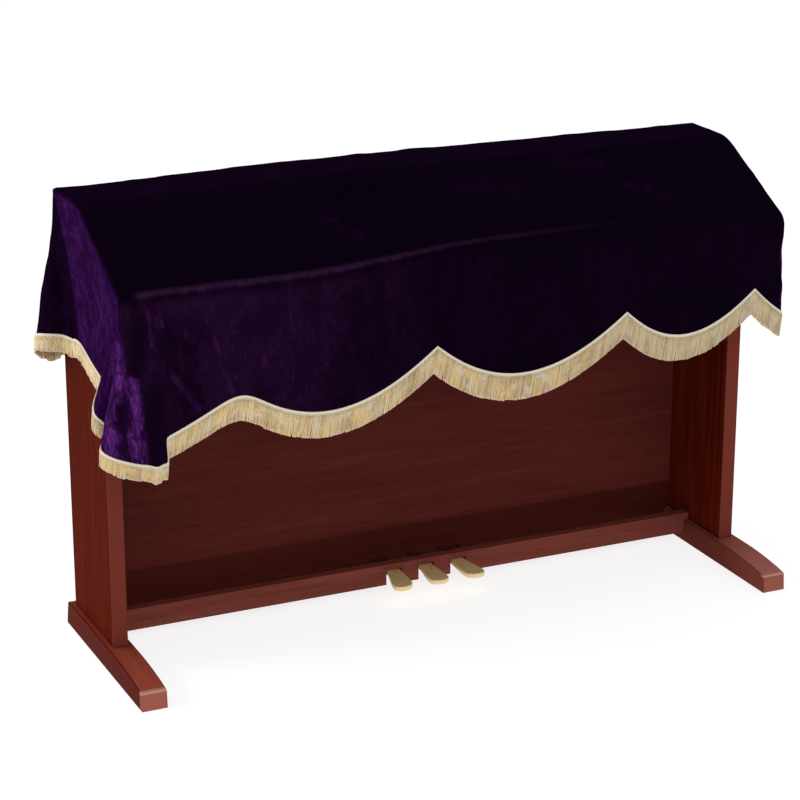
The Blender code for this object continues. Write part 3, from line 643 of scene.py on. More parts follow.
def flat_places():
    """Width and length in the flat cloth. On the skirt it is the flat place of the thread's start
    plus the distance along the thread, in the direction in which that part of the skirt hangs."""
    on_top = np.zeros((ROWS, COLS, 3))
    on_top[..., 0] = widths
    on_top[..., 1] = -profile[:, None, 3]
    start = on_top.reshape(-1, 3)[rings[0]]
    angles = []
    turn = 0.0
    for spot, group in enumerate(groups):
        end = turn + (math.pi / 2 if spot % 2 else 0.0)
        share = (np.arange(len(group)) + 0.5) / len(group)
        angles.append(turn + (end - turn) * share)
        turn = end
    angles = np.concatenate(angles)
    heading = np.column_stack([np.sin(angles), -np.cos(angles), np.zeros(COUNT)])
    whole = np.concatenate([edges[None], levels])
    run = np.cumsum(np.linalg.norm(np.diff(whole, axis=0), axis=2), axis=0)
    skirt = start + heading * run[..., None]
    drift = (levels[..., 0] - edges[:, 0]) * on_front
    skirt[..., 0] += drift * DRIFT_SHARE
    return np.concatenate([on_top.reshape(-1, 3), skirt.reshape(-1, 3)]), run


lay, thread_run = flat_places()
flat_low, flat_high = lay.min(axis=0), lay.max(axis=0)
print("flat cloth:", np.round(flat_high - flat_low, 3)[:2])

# %% [markdown]
# ## The cover: creases
#
# A velvet cover that was folded for storage keeps soft ridges and troughs, and the cloth dimples
# where it bends over the nose of the case. Each row of the table is one ridge or trough in the flat
# cloth: a line from one place to another, how wide it is and how high. Between them runs a
# faint, uneven undulation. Both fade out at the hem, where the trim keeps the cloth straight.

# %% Creases and undulations
NOSE_LINE = -profile[-1, 3]
NOSE_CREASES = np.array([  # with y measured from the nose line
    # from_x, from_y, to_x,  to_y,   width, height
    (-0.630, 0.014, -0.608, -0.036, 0.015, 0.0030),
    (-0.570, 0.006, -0.555, -0.062, 0.014, 0.0030),
    (-0.512, 0.006, -0.498, -0.096, 0.013, 0.0030),
    (-0.440, 0.010, -0.410, -0.128, 0.015, 0.0028),
    (-0.330, 0.012, -0.300, -0.050, 0.018, 0.0026),
    (-0.200, 0.010, -0.190, -0.040, 0.016, 0.0020),
    (0.020, 0.008, 0.030, -0.050, 0.020, 0.0020),
    (0.260, 0.008, 0.250, -0.040, 0.018, 0.0018),
    (0.470, 0.008, 0.480, -0.050, 0.018, 0.0022),
    (-0.592, -0.126, -0.545, -0.192, 0.012, 0.0028),
    (-0.500, -0.110, -0.478, -0.170, 0.012, 0.0026),
    (-0.250, -0.050, -0.220, -0.130, 0.022, 0.0018),
    (0.120, -0.060, 0.150, -0.150, 0.026, 0.0016),
    (0.430, -0.050, 0.400, -0.120, 0.022, 0.0016),
])
NOSE_CREASES[:, [1, 3]] += NOSE_LINE
TOP_CREASES = (
    # from_x, from_y, to_x,  to_y,   width, height
    (-0.680, -0.020, 0.680, -0.026, 0.010, 0.0005),
    (-0.090, -0.060, -0.085, -0.300, 0.012, 0.0009),
    (0.300, -0.070, 0.310, -0.310, 0.014, 0.0008),
)
CREASES = [*NOSE_CREASES, *TOP_CREASES]
SWELLS = ((0.055, 0.00045), (0.110, 0.00080), (0.240, 0.00100))
WAVES = 6
HEM_CALM = (0.004, 0.022)  # up from the hem: relief grows over this stretch
EDGE_REACH = 0.03  # down from the case's edge: here the case still holds the cloth up
LEAST_SINK = 0.25  # share of a trough that the case leaves
SWELL_SEED = 5


def line_relief(flat, table):
    """Sum over the table of height times exp(-(distance from the line / width)²)."""
    relief = np.zeros(len(flat))
    for from_x, from_y, to_x, to_y, width, height in table:
        start = np.array([from_x, from_y])
        run = np.array([to_x, to_y]) - start
        share = np.clip((flat - start) @ run / (run @ run), 0.0, 1.0)
        far = np.linalg.norm(flat - start - share[:, None] * run, axis=1)
        relief += height * np.exp(-((far / width) ** 2))
    return relief


def swell_relief(flat):
    """Sine waves of each length, with directions, phases and stretches from a seed."""
    rng = np.random.default_rng(SWELL_SEED)
    relief = np.zeros(len(flat))
    for length, height in SWELLS:
        turns = rng.uniform(0.0, math.pi, WAVES)
        starts = rng.uniform(0.0, 2 * math.pi, WAVES)
        stretch = rng.uniform(0.8, 1.3, WAVES)
        waves = flat @ np.array([np.cos(turns), np.sin(turns)]) * stretch / length
        relief += height * np.sin(2 * math.pi * waves + starts).sum(axis=1) / WAVES**0.5
    return relief


def point_normals(points, quads):
    """The sum of the normals of the faces that meet in each point, made one metre long."""
    a, b, c, d = (points[quads[:, spot]] for spot in range(4))
    across = np.cross(c - a, d - b)
    total = np.zeros_like(points)
    for spot in range(4):
        np.add.at(total, quads[:, spot], across)
    return unit(total)


normals = point_normals(points, quads)
if normals[ROWS // 2 * COLS + COLS // 2, 2] < 0:
    normals = -normals
    quads = quads[:, ::-1]
to_hem = thread_run[-1] - thread_run
calm = np.concatenate([np.ones(ROWS * COLS), eased(to_hem.reshape(-1), *HEM_CALM)])
on_case = np.concatenate([np.ones(ROWS * COLS), 1 - eased(thread_run.reshape(-1), 0.0, EDGE_REACH)])
creases = line_relief(lay[:, :2], CREASES)
swells = swell_relief(lay[:, :2])
swells = np.where(swells < 0, swells * (1 - (1 - LEAST_SINK) * on_case), swells)
relief = (creases + swells) * calm
points = points + normals * relief[:, None]
print("relief from", round(relief.min() * 1000, 2), "to", round(relief.max() * 1000, 2), "mm")

# %% [markdown]
# ## Velvet
#
# Velvet is a dense pile of upright fibres. Looked at along the fibres it swallows light, so the
# cloth that faces us is almost black, and where the pile is pressed aside or turns away it shows
# its colour. A faint sheen on the shader gives a little glow at grazing angles. What the shader
# can't know is how hands and folds pressed the pile: long brushed patches and small crushed spots.
# Those are masks made of noise in the flat cloth. Most light and shade is painted into the colour
# as well: the lit left side, a lighter front towards the left, a painted highlight along the nose
# of the case, and painted highlights and shade along creases and folds.

# %% [markdown]
# ## Velvet: painted light and shade marks
#
# Some marks sit at known places: painted highlights along creases and ridges, and painted shade in
# a fold's hollow. They are lines like the creases, with light instead of height, and below zero
# they darken. Their sum rides along as the third number of "lay".

# %% Painted light and shade marks
MARKS = (
    # from_x, from_y, to_x,  to_y,  width, light
    (-0.634, -0.424, -0.631, -0.492, 0.004, 0.36),
    (-0.656, -0.412, -0.664, -0.535, 0.012, -0.90),
    (-0.644, -0.440, -0.650, -0.530, 0.008, -0.50),
    (-0.640, -0.575, -0.652, -0.700, 0.018, -0.90),
    (-0.622, -0.570, -0.622, -0.690, 0.012, -0.50),
    (-0.708, -0.592, -0.709, -0.606, 0.015, -0.95),
    (-0.711, -0.630, -0.712, -0.682, 0.008, -0.85),
    (-0.690, -0.622, -0.694, -0.700, 0.005, 0.80),
    (-0.677, -0.622, -0.680, -0.700, 0.003, 0.70),
    (-0.680, -0.545, -0.676, -0.600, 0.012, 0.70),
    (-0.728, -0.560, -0.735, -0.660, 0.012, 0.60),
    (-0.702, -0.478, -0.706, -0.560, 0.009, 0.70),
    (-0.618, -0.440, -0.611, -0.456, 0.006, 0.45),
    (-0.565, -0.470, -0.560, -0.488, 0.005, 0.45),
    (-0.511, -0.492, -0.505, -0.512, 0.005, 0.40),
    (-0.420, -0.536, -0.415, -0.556, 0.006, 0.35),
    (-0.592, -0.552, -0.547, -0.618, 0.007, 0.35),
    (-0.502, -0.530, -0.480, -0.594, 0.006, 0.30),
    (-0.740, -0.330, -0.850, -0.300, 0.009, 0.40),
    (-0.229, -0.262, -0.196, -0.312, 0.022, 0.15),
    (0.290, -0.178, 0.370, -0.192, 0.024, 0.14),
    (0.410, -0.258, 0.480, -0.300, 0.024, 0.15),
    (0.060, -0.215, 0.200, -0.240, 0.040, 0.11),
)
lay[:, 2] = line_relief(lay[:, :2], MARKS)
print("marks from", round(lay[:, 2].min(), 2), "to", round(lay[:, 2].max(), 2))

# %% [markdown]
# ## Velvet: the material
#
# The masks are worked out first, and then the colours go over each other like coats of paint. The
# same masks drive the roughness and the fine relief, so light and colour tell the same story.

# %% Velvet material
def velvet_finish():
    """Nearly black in front and on top, a left side painted lighter as if lit, and painted
    highlights and shade along the nose and the marks over both.
    """
    finish = Finish(
        "crushed_velvet",
        Sheen_Weight=0.02,
        Sheen_Roughness=0.45,
        Sheen_Tint=(0.34, 0.10, 0.55, 1.0),
        Specular_IOR_Level=0.0,
    )
    flat = finish.lay()
    across, down, mark = finish.parts(flat)
    brushed = finish.cloud(flat, (8.5, 4.5, 0.0), 4.0, 0.55, 0.8)
    patches = finish.cloud(flat, (34.0, 18.0, 0.0), 5.0, 0.62, 1.2)
    specks = finish.cloud(flat, (190.0, 80.0, 0.0), 3.0, 0.65, 0.6)
    fibres = finish.cloud(flat, (900.0, 420.0, 0.0), 2.0, 0.7)
    pile = finish.cloud(flat, 1500.0, 1.0)
    pressed = finish.band(brushed, 0.40, 0.66)
    ruffled = finish.band(patches, 0.42, 0.62)
    bright = finish.band(specks, 0.50, 0.68) * (0.30 + 0.70 * ruffled)
    # The painted highlight along the nose sags towards the right. All below it hangs.
    bulge = finish.band(across, -0.36, 0.10)
    crest = down - (NOSE_LINE + 0.031) - bulge * 0.034 + (patches - 0.5) * 0.010
    hanging = finish.fade(crest, -0.030, -0.002)
    # Painted light: the hanging front is painted lighter towards the left, where the lamp is.
    leftward = finish.fade(across, -0.66, 0.12)
    nose = finish.fade(crest.size(), 0.0008, 0.0105)
    # Painted highlight: a glow just under the nose line, on the left.
    brow_glow = finish.band(crest, -0.090, -0.006) * hanging
    # worn: a painted highlight along the nose of the case, fading out to the right.
    worn = nose * finish.fade(across, -0.36, 0.48) * finish.band(across, -0.662, -0.640)
    behind = finish.band(down, -0.004, 0.012)
    # How much of the crushed pattern shows: a little on the top, more on the back skirt, and most on
    # the front's left part, where it is painted lighter as lit.
    shown = 0.08 + 0.04 * hanging + 0.86 * hanging * leftward + 0.32 * behind
    # The left side, up to the front fold, is painted lighter as if lit. The fold behind it is kept
    # dark, as painted shade.
    lobe = finish.fade(down, -0.548, -0.532)
    border = across - lobe * 0.026 + (patches - 0.5) * 0.020
    rear_fold_shade = finish.band(down - (across + HALF_X) * 0.40, -0.020, -0.006)
    lit_side = finish.fade(border, -HALF_X - 0.008, -HALF_X + 0.004) * (1 - rear_fold_shade * 0.93)
    # Painted light: the lobe of the front fold gets more bright crush, as if it catches the lamp.
    lobe_light = finish.fade(down, -0.530, -0.440) * finish.band(across, -0.790, -0.750)
    # Painted sheen: the right side gets part of the lit side's colour.
    right_side_sheen = finish.band(across + (patches - 0.5) * 0.020, HALF_X - 0.004, HALF_X + 0.008)
    # The lit side's colour: painted light over the crushed pattern.
    side_tone = finish.coats(
        (0.0125, 0.0017, 0.0228),
        (ruffled * (0.34 + 0.51 * lobe_light), (0.0560, 0.0082, 0.0980)),
        (bright * (0.12 + 0.68 * lobe_light), (0.1400, 0.0330, 0.2250)),
    )
    # Painted highlights along the creases and ridges of the marks.
    mark_highlight = finish.band(mark, 0.0, 1.0) * (0.18 + 0.40 * ruffled + 0.42 * bright)
    tone = finish.coats(
        (0.0029, 0.0006, 0.0045),
        # Crushed patches, and the front painted lighter towards the left as painted light.
        (pressed * shown * 0.9 + leftward * hanging * 0.30, (0.0100, 0.0019, 0.0138)),
        (ruffled * shown * 0.42, (0.0145, 0.0029, 0.0195)),
        # The painted glow under the nose line.
        (brow_glow * leftward * (0.40 + 0.45 * ruffled), (0.0165, 0.0034, 0.0200)),
        (bright * shown * pressed * 0.50, (0.0400, 0.0125, 0.0530)),
        (lit_side, side_tone),
        (right_side_sheen * 0.40, side_tone),
        (mark_highlight, (0.1250, 0.0260, 0.2000)),
        # Painted shade in the fold hollows, where the marks go below zero.
        (finish.band(mark, 0.0, -1.0) * 0.92, (0.0050, 0.0009, 0.0080)),
        # The painted highlight along the nose.
        (worn * (0.64 + 0.36 * ruffled), (0.0290, 0.0098, 0.0350)),
        (finish.band(fibres, 0.40, 0.80) * 0.22, (0.0130, 0.0026, 0.0200)),
    )
    height = fibres * 0.5 + pile * 0.2 + specks * 0.5 + ruffled * 0.4
    return finish.done(tone, 0.80 + 0.16 * fibres - 0.10 * worn, height, 0.0008, 0.8)


def backing_finish():
    """The woven ground of the velvet, seen from below: a matt plain weave."""
    finish = Finish("velvet_backing", Specular_IOR_Level=0.2)
    flat = finish.lay()
    across, down, _ = finish.parts(flat)
    slubs = finish.cloud(flat, (30.0, 300.0, 1.0))
    weave = ((across * 5200.0).sine() * (down * 5200.0).sine()) * 0.5 + 0.5
    tone = finish.blend(weave * 0.5 + slubs * 0.4, (0.012, 0.003, 0.026), (0.040, 0.014, 0.080))
    return finish.done(tone, 0.82 + 0.12 * slubs, weave, 0.0002, 0.6)


velvet = velvet_finish()
backing = backing_finish()
print("made", velvet.name, "and", backing.name)

# %% [markdown]
# ## The cover: a piece of the frame
#
# The mesh so far has no thickness. A Solidify modifier gives it the 2 mm of the velvet, half to
# each side, and paints the inner wall with the backing.

# %% The cover as a piece
faces = [tuple(dict.fromkeys(quad)) for quad in quads.tolist()]
cover = mesh_piece("velvet_cover", points, faces, [velvet, backing], lay)
thickness = cover.modifiers.new("velvet", "SOLIDIFY")
thickness.thickness = CLOTH
thickness.offset = 0.0
thickness.material_offset = 1
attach(cover, CARRIER)
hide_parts("cover_cloth")

# %% [markdown]
# ## The fringe: directions along the hem
#
# The trim is sewn on the outside of the hem. To carry anything along it we need, at every thread,
# the way up the cloth, the way out of it and the distance walked so far. The cloth was displaced
# by its creases only above the hem, so the hem itself is still the line of the tables.

# %% Hem directions
hem_low = levels[-1]
hem_up = unit(levels[-3] - hem_low)
hem_next = np.roll(hem_low, -1, axis=0) - hem_low
hem_along = unit(np.roll(hem_low, -1, axis=0) - np.roll(hem_low, 1, axis=0))
hem_out = unit(np.cross(hem_along, hem_up))
if (hem_out[len(front) // 2] @ np.array([0.0, -1.0, 0.0])) < 0:
    hem_out = -hem_out
hem_walk = np.concatenate([[0.0], np.cumsum(np.linalg.norm(hem_next, axis=1))])
HEM_LENGTH = hem_walk[-1]


def along_hem(values, places):
    """Values given at the threads, read at any distances along the closed hem."""
    closed = np.concatenate([values, values[:1]])
    if closed.ndim == 1:
        return np.interp(places % HEM_LENGTH, hem_walk, closed)
    return np.column_stack([np.interp(places % HEM_LENGTH, hem_walk, column) for column in closed.T])


print("hem length:", round(HEM_LENGTH, 3), "m")

# %% [markdown]
# ## The fringe: its header
#
# The yarns hang from a narrow woven braid. It is a small profile carried along the hem: flat
# against the velvet, rounded in front, with a raised rib on each edge. The rib's height goes up and
# down with the stitches, which are twisted, so one rib is half a stitch behind the other.

# %% Header braid
TAPE_GAP = 0.0006
HEADER_STEP = 0.0016
STITCH = 0.0042
STITCH_WAVE = 0.00035
HEADER_PROFILE = np.array([
    # up,     out,    rib
    (0.0000, 0.0000, 0.0),
    (0.0000, 0.0012, 0.3),
    (0.0012, 0.0019, 1.0),
    (0.0028, 0.0016, 0.2),
    (0.0040, 0.0015, 0.0),
    (0.0052, 0.0016, -0.2),
    (0.0068, 0.0019, -1.0),
    (0.0080, 0.0012, -0.3),
    (0.0080, 0.0000, 0.0),
])


def make_header(material):
    """Every profile point is hem + up * height + out * depth, where the depth has a small wave along
    the stitches that runs the other way on the other rib."""
    count = int(HEM_LENGTH / HEADER_STEP)
    places = np.arange(count) * HEM_LENGTH / count
    base, rise, out = (along_hem(values, places)[:, None] for values in (hem_low, hem_up, hem_out))
    height, depth, rib = (column[None, :, None] for column in HEADER_PROFILE.T)
    wave = np.sin(2 * math.pi * places / STITCH)[:, None, None]
    depth = CLOTH / 2 + TAPE_GAP + depth + STITCH_WAVE * rib * wave * (depth > 0)
    points = base + unit(rise) * height + unit(out) * depth
    sides = len(HEADER_PROFILE)
    number = np.arange(count * sides).reshape(count, sides)
    ahead = np.roll(number, -1, axis=0)
    corners = [number, ahead, np.roll(ahead, -1, axis=1), np.roll(number, -1, axis=1)]
    faces = np.stack(corners, axis=-1).reshape(-1, 4).tolist()
    lay = np.zeros((count, sides, 3))
    lay[..., 0] = places[:, None]
    lay[..., 1] = HEADER_PROFILE[:, 0]
    points = points.reshape(-1, 3)
    return mesh_piece("fringe_header", points, faces, [material], lay.reshape(-1, 3))


def header_finish():
    """Twisted cream and gold threads: slanted stripes that lean one way above the middle and the
    other way below it."""
    finish = Finish("woven_header", Sheen_Weight=0.25, Specular_IOR_Level=0.35)
    flat = finish.lay()
    along, up, _ = finish.parts(flat)
    slant = (up - TAPE_HEIGHT / 2).size() * 0.8
    strands = ((along + slant) * (2 * math.pi / 0.0021)).sine() * 0.5 + 0.5
    worn = finish.cloud(flat, (30.0, 180.0, 1.0))
    fuzz = finish.cloud(flat, 2600.0, 2.0)
    tone = finish.blend(strands * 0.6 + fuzz * 0.25, (0.58, 0.50, 0.34), (0.93, 0.89, 0.77))
    tone = finish.blend(finish.band(worn, 0.50, 0.75) * 0.5, tone, (0.76, 0.63, 0.40))
    return finish.done(tone, 0.52 + 0.2 * fuzz, strands * 0.8 + fuzz * 0.2, 0.0004, 0.8)


header = make_header(header_finish())

# %% [markdown]
# ## The fringe: its yarns
#
# Bright yarns hang from the header in two layers of some two thousand each. A yarn is about as
# thick as a matchstick. A few dozen faces are enough for one, because they are seen side by side,
# and their shine comes from the shader. The hind layer is half a yarn further on, so no gaps are
# left. A layer is one array: the path of every yarn times the ring round it.

# %% Yarns
YARN_PITCH = 0.00195
YARN_JITTER = 0.18  # of the pitch
YARN_ROOT = 0.003  # how far up behind the header a yarn starts
YARN_SEED = 11
YARN_SPREAD = 0.016  # of the yarns' lengths
PLUMB = np.array([0.0, 0.0, -0.7])
CLING = 0.3  # how much a yarn follows the cloth instead of hanging plumb
LEAN = np.array([-0.26, 0.0, 0.0])
LEAN_SHARE = 0.75
SWEPT_FROM, SWEPT_OVER, SWEPT_MORE = 0.67, 0.07, 1.1  # the right end leans more
RAGGED_UP_TO, NEAT_SHARE = -0.62, 0.35  # right of this place the cut is neater
SWAY = 0.0007
KINK, KINK_TURNS = 0.00035, 9.0
LOCK_PITCH = 0.0125
LOCK_JITTER = 0.42  # of that pitch
LOCK_SPREAD = 0.028  # of the locks' lengths
GATHER = 0.10


def yarn_locks(places):
    """Neighbours cling together in locks. The locks' borders are evenly spaced along the hem and
    then pushed about. Gives each yarn its lock's middle, length and shade."""
    rng = np.random.default_rng(YARN_SEED)
    count = int(HEM_LENGTH / LOCK_PITCH)
    jitter = rng.uniform(-LOCK_JITTER, LOCK_JITTER, count + 1)
    borders = (np.arange(count + 1) + jitter) * HEM_LENGTH / count
    lock = np.clip(np.searchsorted(borders, places) - 1, 0, count - 1)
    middle = (borders[lock] + borders[lock + 1]) / 2
    lengths = rng.normal(0.0, LOCK_SPREAD, count)[lock]
    return middle, lengths, rng.uniform(0.0, 1.0, count)[lock]


def yarn_layer(name, phase, sides, steps, radius, depth, material):
    """Centre line: root + down * s length + a small sway of s². Ring: radius times cosine and sine
    round it, a little fuller in the middle. Down is plumb mixed with the way the cloth runs, plus a
    lean on the front."""
    rng = np.random.default_rng(YARN_SEED + sides)
    count = int(HEM_LENGTH / YARN_PITCH)
    jitter = rng.uniform(-YARN_JITTER, YARN_JITTER, count)
    places = (np.arange(count) + phase + jitter) * HEM_LENGTH / count
    base = along_hem(hem_low, places)
    rise, out, along = (unit(along_hem(way, places)) for way in (hem_up, hem_out, hem_along))
    facing = np.clip(-out[:, 1], 0.0, 1.0)[:, None]
    swept = 1 + SWEPT_MORE * np.clip((base[:, :1] - SWEPT_FROM) / SWEPT_OVER, 0.0, 1.0)
    down = unit(PLUMB - rise * CLING + LEAN * facing * swept * LEAN_SHARE)
    length = along_hem(fringe_length, places) - TAPE_HEIGHT + YARN_ROOT
    middle, lock_length, lock_shade = yarn_locks(places)
    ragged = NEAT_SHARE + (1 - NEAT_SHARE) * (base[:, 0] < RAGGED_UP_TO)
    length *= 1 + ragged * (lock_length + rng.normal(0.0, YARN_SPREAD, count))
    share = np.linspace(0.0, 1.0, steps + 1)
    sway = rng.normal(0.0, SWAY, (count, 2))
    curl = rng.uniform(0.0, 2 * math.pi, count)
    wave = KINK * np.sin(share * KINK_TURNS + curl[:, None])
    root = base + rise * YARN_ROOT + out * (CLOTH / 2 + TAPE_GAP + depth)
    centre = root[:, None] + down[:, None] * (length[:, None] * share)[..., None]
    gather = (middle - places) * GATHER
    centre += along[:, None] * ((sway[:, :1] + gather[:, None]) * share**2 + wave)[..., None]
    centre += out[:, None] * (sway[:, 1:] * 0.8 * share**2)[..., None]
    belly = 0.78 + 0.22 * np.sin(math.pi * share**0.8) + 0.12 * share
    thick = radius * (1 + rng.normal(0.0, 0.08, count))[:, None] * belly
    turn = 2 * math.pi * np.arange(sides) / sides + rng.uniform(0.0, math.pi, count)[:, None]
    across = np.cross(down, along)
    ring = along[:, None] * np.cos(turn)[..., None] + across[:, None] * np.sin(turn)[..., None] * 0.85
    tubes = centre[:, :, None] + ring[:, None] * thick[:, :, None, None]
    number = np.arange(tubes[..., 0].size).reshape(count, steps + 1, sides)
    beside = np.roll(number, -1, axis=2)
    walls = np.stack([number[:, :-1], beside[:, :-1], beside[:, 1:], number[:, 1:]], axis=-1)
    faces = walls.reshape(-1, 4).tolist() + number[:, -1].tolist() + number[:, 0, ::-1].tolist()
    lay = np.zeros(tubes.shape)
    lay[..., 0] = places[:, None, None]
    lay[..., 1] = share[None, :, None]
    lay[..., 2] = (0.5 * rng.uniform(0.0, 1.0, count) + 0.5 * lock_shade)[:, None, None]
    return mesh_piece(name, tubes.reshape(-1, 3), faces, [material], lay.reshape(-1, 3))


def yarn_finish():
    """Bright rayon: the tint changes from yarn to yarn and drifts along the hem, the roots are in
    the header's shade and the cut ends catch a little peach."""
    finish = Finish("gold_yarn", Sheen_Weight=0.15, Sheen_Roughness=0.4, Specular_IOR_Level=0.5)
    flat = finish.lay()
    along, down, own = finish.parts(flat)
    across, _, _ = finish.parts(finish.place())
    drift = finish.cloud(flat, (24.0, 1.6, 0.0), 3.0, 0.6)
    silver = finish.cloud(flat, (44.0, 2.2, 0.3), shift=(7.0, 3.0, 0.0))
    ply = ((down * 46.0 + own * 9.0) * (2 * math.pi)).sine() * 0.5 + 0.5
    fuzz = finish.cloud(flat, (1800.0, 90.0, 5.0), 2.0)
    tone = finish.coats(
        (0.36, 0.235, 0.085),
        (own, (0.84, 0.67, 0.40)),
        (finish.band(drift, 0.46, 0.62) * 0.75, (0.78, 0.56, 0.235)),
        (finish.band(silver, 0.50, 0.64) * 0.65, (0.70, 0.64, 0.52)),
        (ply * 0.18 * (0.4 + own), (0.42, 0.27, 0.10)),
        (finish.band(down, 0.0, 0.12, 0.35, 0.0), (0.46, 0.34, 0.16)),
        (finish.band(down, 0.86, 0.98) * 0.7, (0.84, 0.55, 0.36)),
        (finish.band(across, 0.05, 0.45) * 0.40, (0.45, 0.38, 0.27)),
        (finish.fade(across, -0.60, -0.10) * 0.28, (0.88, 0.66, 0.34)),
    )
    return finish.done(tone, 0.36 + 0.22 * fuzz, ply * 0.7 + fuzz * 0.3, 0.0003, 0.6)


gold_yarn = yarn_finish()
yarns_front = yarn_layer("fringe_yarns_front", 0.0, 4, 6, 0.00118, 0.0016, gold_yarn)
yarns_back = yarn_layer("fringe_yarns_back", 0.5, 3, 4, 0.00125, 0.0006, gold_yarn)
for piece in (header, yarns_front, yarns_back):
    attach(piece, CARRIER)
    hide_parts("fringe")

# %% [markdown]

# %% [markdown]
# ## Mahogany
#
# The piano is veneered board with a satin lacquer. Wood is drawn by its grain: long streaks along
# one axis, darker pores in them, and a slow change of tone over each board. One function makes the
# finish for any grain direction, by stretching the noise along that axis. The lacquer is a thin
# coat over it.

# %% Wood material
def dress(names, material):
    """Gives the frame's own solids a material."""
    for name in names:
        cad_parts[name].material_slots[0].material = material
    print(material.name, "on", ", ".join(names))


def mahogany(name, grain, tones, gloss=0.34, seed=0.0, glint=0.010, add=None):
    """Noise read at a place that is squeezed along the grain, so each lump becomes a streak. Tones
    are dark, middle and light, and add lists what lies over them, from the three coordinates."""
    finish = Finish(name, Specular_IOR_Level=glint)
    dark, middle, light = tones
    shift = (seed, seed * 1.7, seed * 0.6)

    def figured(across, along, detail, rough=0.5, warp=0.0):
        scale = tuple(along if axis == grain else across for axis in "XYZ")
        return finish.cloud(spot, scale, detail, rough, warp, shift)

    spot = finish.place()
    bend = finish.node("VectorMath", {"operation": "SCALE"}, {0: figured(5.0, 1.4, 2.0), "Scale": 0.02})
    spot = finish.node("VectorMath", {"operation": "ADD"}, {0: spot, 1: bend})
    figure = figured(9.0, 1.1, 4.0, 0.55, 0.5)
    streaks = figured(85.0, 3.2, 4.0, 0.6)
    hollow = finish.band(figured(650.0, 26.0, 2.0, 0.6), 0.58, 0.70)
    tone = finish.coats(
        dark,
        (finish.band(figure, 0.32, 0.70), middle),
        (finish.band(streaks, 0.45, 0.72) * 0.55, light),
        (finish.fade(streaks, 0.28, 0.44) * 0.35, dark),
        (hollow * 0.5, tuple(value * 0.35 for value in dark)),
        *(add(finish, *finish.parts(finish.place())) if add else ()),
    )
    rough = gloss + 0.10 * figure + 0.14 * hollow
    return finish.done(tone, rough, (1 - hollow) * 0.7 + streaks * 0.3, 0.00012, 0.5)


case_tones = (0.058, 0.0080, 0.0052), (0.118, 0.0165, 0.0100), (0.190, 0.0360, 0.0230)
dress(["keyboard_case"], mahogany("mahogany_case", "X", case_tones, 0.34, 9.0))

# %% [markdown]
# ## Mahogany: legs and feet
#
# Light and shade are painted over the grain here. Each mask below picks a face by its place: the
# legs' front edges and the feet's tops, toes and rims are painted paler as painted light, the right
# foot's top and toe paler still as a painted highlight, and the feet's two sides are painted darker
# as shade, of which the outer are dark.

# %% Legs and feet
LEG_FRONT_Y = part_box("leg_left")[0][1]
FOOT_OUTER_X = -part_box("foot_left")[0][0]
FOOT_INNER_X = -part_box("foot_left")[1][0]
FOOT_FRONT_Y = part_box("foot_left")[0][1]
TOE_TOP_Z = 0.036


# Painted light: the legs' front faces are painted paler than their sides.
def leg_painted_light(finish, across, depth, height):
    front = finish.fade(depth, LEG_FRONT_Y + 0.0010, LEG_FRONT_Y + 0.0025)
    return [(front * 0.75, (0.180, 0.0410, 0.0290))]


# Painted light and shade over the feet.
def foot_light_and_shade(finish, across, depth, height):
    # Painted light and shade: lighter towards the toe, darker back towards the leg.
    forward = finish.band(depth, FOOT_FRONT_Y, 0.0, 1.0, 0.3)
    # Painted highlight: paler still on the right foot.
    rightward = finish.band(across, -0.1, 0.1)
    # Painted shade on both sides: the outer dark, the inner dark near the leg.
    outer = finish.band(across.size(), FOOT_OUTER_X - 0.0030, FOOT_OUTER_X - 0.0010)
    inner = finish.fade(across.size(), FOOT_INNER_X + 0.0010, FOOT_INNER_X + 0.0030)
    inner_tone = finish.blend(forward, (0.070, 0.0115, 0.0075), (0.190, 0.0370, 0.0290))
    # Painted highlight: a paler toe with a paler rim along its top edge.
    toe = finish.fade(depth, FOOT_FRONT_Y + 0.004, FOOT_FRONT_Y + 0.016)
    rim = finish.band(height, TOE_TOP_Z - 0.0040, TOE_TOP_Z - 0.0015) * toe
    return [
        (forward * 0.55, (0.400, 0.0880, 0.0500)),
        (forward * rightward * 0.55, (0.520, 0.2150, 0.1850)),
        (outer * 0.97, (0.076, 0.0046, 0.0012)),
        (toe * 0.75, (0.340, 0.1150, 0.0850)),
        (toe * rightward * 0.5, (0.200, 0.0620, 0.0440)),
        (inner * 0.92, inner_tone),
        (rim * 0.8, (0.560, 0.2900, 0.2450)),
    ]


leg_tones = (0.060, 0.0050, 0.0012), (0.090, 0.0082, 0.0022), (0.124, 0.0150, 0.0070)
foot_tones = (0.110, 0.0150, 0.0080), (0.220, 0.0350, 0.0200), (0.310, 0.0680, 0.0440)
leg_wood = mahogany("mahogany_upright", "Z", leg_tones, glint=0.001, add=leg_painted_light)
foot_wood = mahogany("mahogany_foot", "Y", foot_tones, 0.30, 3.0, 0.004, foot_light_and_shade)
dress(["leg_left", "leg_right"], leg_wood)
dress(["foot_left", "foot_right"], foot_wood)

# %% [markdown]
# ## Mahogany: rail and panel
#
# The rail's upper edge carries a paler band as a painted highlight, and the back panel is painted
# darker in a band at its foot as painted shade behind the rail. Both are the same wood with one
# more mask over height.

# %% Rail and panel
RAIL_TOP_Z = 0.064
BAND_TOP_Z = 0.108


def rail_edge_highlight(finish, across, depth, height):
    # Painted highlight: a paler band along the rail's top edge.
    edge = finish.band(height, RAIL_TOP_Z - 0.0022, RAIL_TOP_Z - 0.0006)
    return [(edge * 0.5, (0.26, 0.062, 0.045))]


